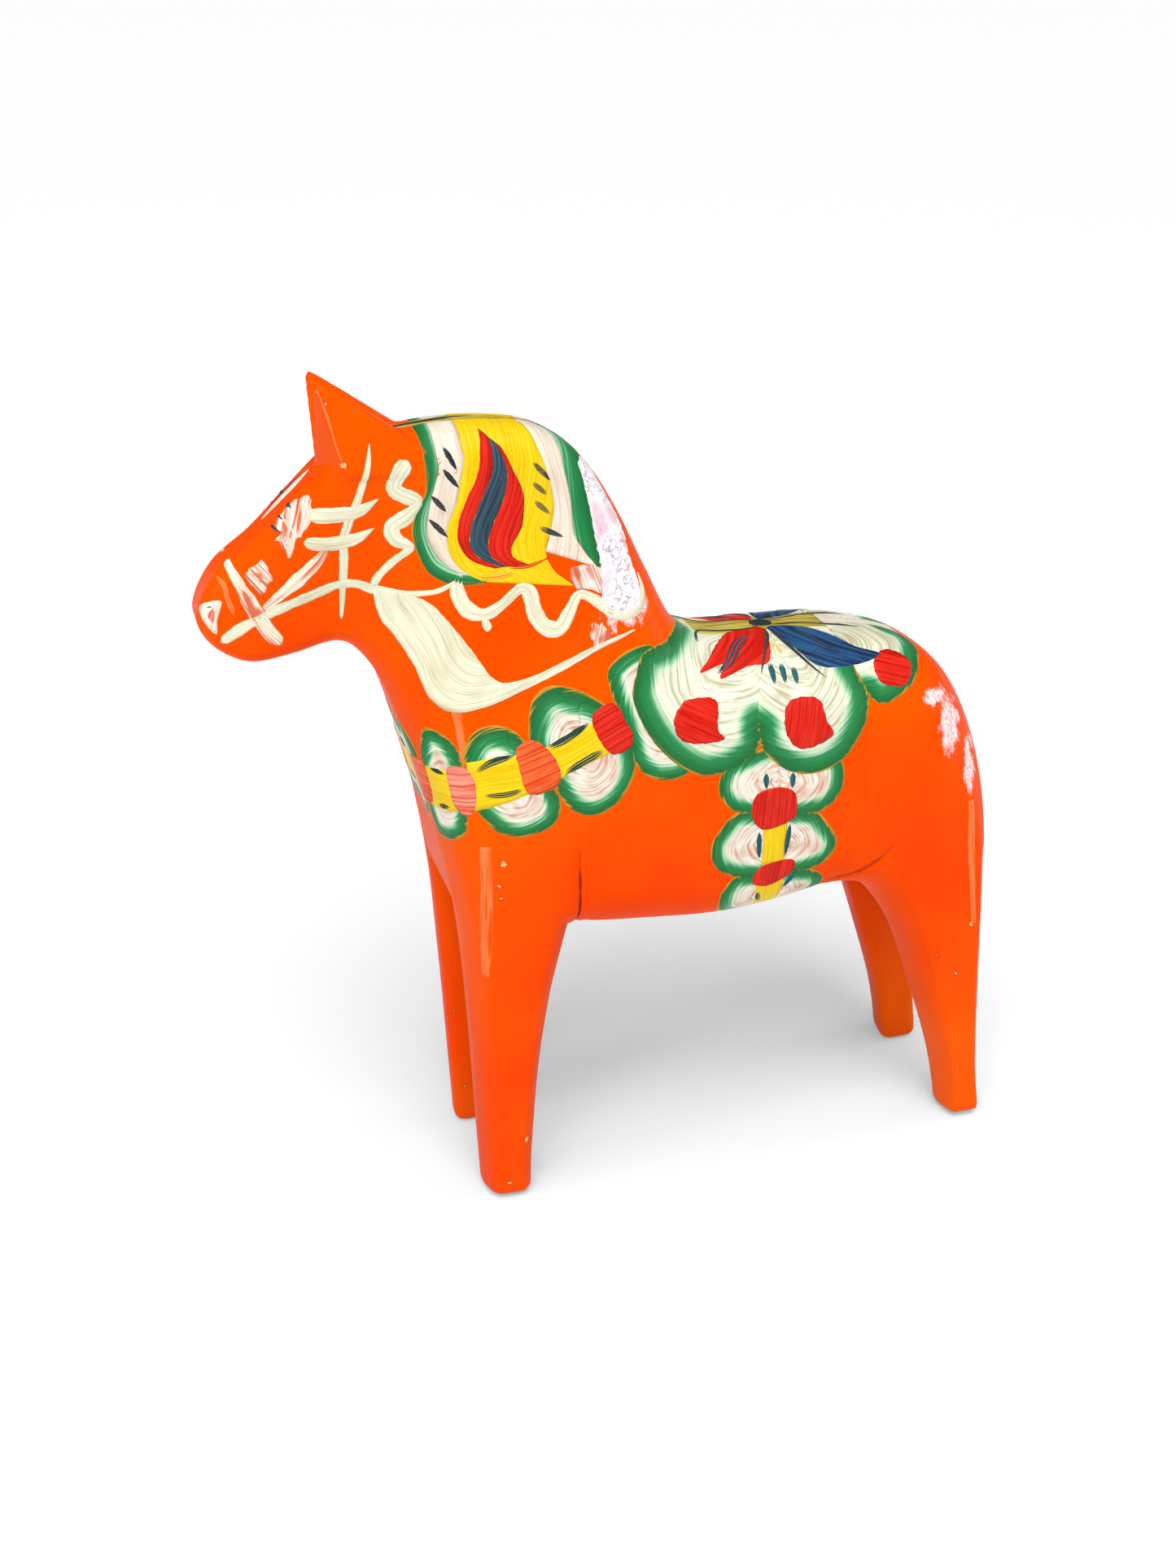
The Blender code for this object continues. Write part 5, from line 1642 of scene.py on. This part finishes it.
@dataclass
class Carving:
    """The enamelled boards, cut from one skin along the glue lines."""

    cell: float = 1.25
    gap: float = 0.02

    def cuts(self) -> dict:
        """For each board, the planes that bound it: (axis, place in mm, side kept).

        Returns:
            The planes by board name.
        """
        boards = {"centre_board": [(1, CORE_HALF, -1), (1, -CORE_HALF, 1)]}
        for side, label in ((Side.LEFT, "left"), (Side.RIGHT, "right")):
            inner = (1, side.value * (CORE_HALF + self.gap), side.value)
            boards[f"{label}_foreleg_board"] = [inner, (0, FORE_SEAM_U - self.gap, -1)]
            boards[f"{label}_flank_board"] = [inner, (0, FORE_SEAM_U, 1), (0, HIND_SEAM_U, -1)]
            boards[f"{label}_hind_leg_board"] = [inner, (0, HIND_SEAM_U + self.gap, 1)]
        return boards

    def build(self, form: CarvedForm) -> None:
        """Skins the form, cuts the boards and dresses them.

        Args:
            form: The carved form.
        """
        vertices, faces = form.skin(self.cell)
        LOG.info("skin: %d vertices", len(vertices))
        whole = bpy.data.meshes.new("whole_skin")
        whole.from_pydata(to_frame(vertices), [], faces.tolist())
        for board, planes in self.cuts().items():
            shape = bmesh.new()
            shape.from_mesh(whole)
            for axis, place, kept in planes:
                spot = Vector((0, 0, 0))
                spot[axis] = place * MILLIMETRE + (NOSE_X if axis == 0 else 0)
                way = Vector((0, 0, 0))
                way[axis] = kept
                parts = shape.verts[:] + shape.edges[:] + shape.faces[:]
                bmesh.ops.bisect_plane(shape, geom=parts, dist=1e-7, plane_co=spot, plane_no=way,
                                       clear_inner=True)
                edges = [e for e in shape.edges if e.is_boundary]
                bmesh.ops.holes_fill(shape, edges=edges, sides=0)
            bmesh.ops.recalc_face_normals(shape, faces=shape.faces[:])
            mesh = bpy.data.meshes.new(f"enamelled_{board}")
            shape.to_mesh(mesh)
            shape.free()
            self._dress(form, mesh, board)
        bpy.data.meshes.remove(whole)

    @staticmethod
    def _dress(form: CarvedForm, mesh: bpy.types.Mesh, board: str) -> None:
        """Gives a board true surface normals, its enamel and its place in the frame.

        Args:
            form: The carved form.
            mesh: The board's mesh, in metres.
            board: The node that the board replaces.
        """
        piece = bpy.data.objects.new(mesh.name, mesh)
        bpy.context.scene.collection.objects.link(piece)
        mesh.shade_smooth()
        places = np.empty(len(mesh.vertices) * 3, np.float32)
        mesh.vertices.foreach_get("co", places)
        template = (places.reshape(-1, 3) - np.array([NOSE_X, 0, 0])) / MILLIMETRE
        normals = unit(form.slope(template.astype(float), 0.5))
        corners = np.empty(len(mesh.loops), np.int32)
        mesh.loops.foreach_get("vertex_index", corners)
        starts, sizes = np.empty(len(mesh.polygons), np.int32), np.empty(len(mesh.polygons), np.int32)
        mesh.polygons.foreach_get("loop_start", starts)
        mesh.polygons.foreach_get("loop_total", sizes)
        flat = np.empty(len(mesh.polygons) * 3, np.float32)
        mesh.polygons.foreach_get("normal", flat)
        per_corner = np.repeat(flat.reshape(-1, 3), sizes, axis=0)
        smooth = normals[corners]
        agrees = (smooth * per_corner).sum(1) > 0.55
        mesh.normals_split_custom_set(np.where(agrees[:, None], smooth, per_corner))
        mesh.materials.append(ENAMEL.material())
        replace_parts(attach(piece, "root"), board)
        LOG.info("%s: %d vertices", piece.name, len(mesh.vertices))


@dataclass
class Dowels:
    """The hidden dowels between the boards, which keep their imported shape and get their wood."""

    def dress(self) -> None:
        """Puts the birch finish on each dowel's slots."""
        for name, node in frame["nodes"].items():
            if name.endswith("dowel"):
                node.data.materials.clear()
                node.data.materials.append(BIRCH.material())
                LOG.info("%s dressed", name)


# ---------------------------------------------------------------- studio


@dataclass
class Studio:
    """Pale floor, soft lights and the camera."""

    camera_place: tuple = (-0.1510, -0.4601, 0.3453)
    camera_turn: tuple = (65.25, 0.0, -17.18)
    lens: float = 41.1

    def build(self) -> None:
        """Sets up the floor, world, lights and camera."""
        self._floor()
        self._world()
        self._bounce("window_bounce", (-0.22, -0.72, 1.0), 2.1, 46.0)
        self._bounce("ceiling", (-0.05, -0.22, 1.0), 1.5, 54.0)
        self._softbox("right_panel", (1.30, -0.06, 0.36), (0.0, 0, 0.16), (0.36, 0.42), 2.0)
        self._softbox("left_panel", (-1.20, -0.32, 0.66), (-0.08, 0, 0.2), (0.30, 0.40), 2.0)
        data = bpy.data.cameras.new("product_camera")
        data.sensor_fit = "VERTICAL"
        data.sensor_height = 36.0
        data.lens = self.lens
        data.clip_start = 0.01
        camera = bpy.data.objects.new("product_camera", data)
        camera.location = self.camera_place
        camera.rotation_euler = [math.radians(a) for a in self.camera_turn]
        bpy.context.scene.collection.objects.link(camera)
        bpy.context.scene.camera = camera
        bpy.context.scene.view_settings.view_transform = "Standard"

    @staticmethod
    def _floor() -> None:
        """A wide plain floor with a plain finish."""
        mesh = bpy.data.meshes.new("studio_floor")
        reach = 25.0
        mesh.from_pydata([(-reach, -reach, 0), (reach, -reach, 0), (reach, reach, 0), (-reach, reach, 0)], [],
                         [(0, 1, 2, 3)])
        floor = bpy.data.objects.new("studio_floor", mesh)
        bpy.context.scene.collection.objects.link(floor)
        paper = bpy.data.materials.new("studio_paper")
        paper.use_nodes = True
        shader = paper.node_tree.nodes["Principled BSDF"]
        shader.inputs["Base Color"].default_value = (0.97, 0.97, 0.97, 1)
        shader.inputs["Roughness"].default_value = 0.9
        shader.inputs["Specular IOR Level"].default_value = 0.1
        mesh.materials.append(paper)

    @staticmethod
    def _world() -> None:
        """Even white surroundings."""
        world = bpy.data.worlds.new("studio_world")
        world.use_nodes = True
        background = world.node_tree.nodes["Background"]
        background.inputs[0].default_value = (1, 1, 1, 1)
        background.inputs[1].default_value = 0.05
        bpy.context.scene.world = world

    @staticmethod
    def _bounce(name: str, source: tuple, strength: float, spread: float) -> None:
        """A very soft distant light from the direction of source; spread is its width in degrees.

        Args:
            name: Name of the light.
            source: Direction that the light comes from.
            strength: Its power.
            spread: Its width in degrees.
        """
        data = bpy.data.lights.new(name, "SUN")
        data.energy, data.angle = strength, math.radians(spread)
        light = bpy.data.objects.new(name, data)
        light.rotation_euler = Vector(source).to_track_quat("Z", "Y").to_euler()
        bpy.context.scene.collection.objects.link(light)

    @staticmethod
    def _softbox(name: str, place: tuple, aim: tuple, size: tuple, power: float) -> None:
        """A rectangular area light pointed at a spot.

        Args:
            name: Name of the light.
            place: Where it stands, in metres.
            aim: What it points at.
            size: Width and height, in metres.
            power: Its power in watts.
        """
        data = bpy.data.lights.new(name, "AREA")
        data.shape = "RECTANGLE"
        data.size, data.size_y = size
        data.energy = power
        light = bpy.data.objects.new(name, data)
        light.location = place
        light.rotation_euler = (Vector(aim) - Vector(place)).to_track_quat("-Z", "Y").to_euler()
        bpy.context.scene.collection.objects.link(light)


def keep_floor_neutral() -> None:
    """Stops the orange sides from throwing their colour on the white floor."""
    for piece in bpy.context.scene.objects:
        if piece.type == "MESH":
            piece.visible_diffuse = False


def main() -> None:
    """Builds the horse's pieces in order, then the studio."""
    logging.basicConfig(level=logging.INFO, format="%(message)s")
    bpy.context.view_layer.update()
    form = CarvedForm()
    Carving().build(form)
    Dowels().dress()
    panels = [Bridle("bridle"), ThroatPanel("throat"), ManePanel("mane"), BreastStrap("breast_strap"),
              Saddle("saddle"), GirthStrap("girth"), PaintedHighlightsAndWear("rubbed")]
    for panel in panels:
        panel.build(form, FINISHES)
    keep_floor_neutral()
    Studio().build()


if __name__ == "__main__":
    main()
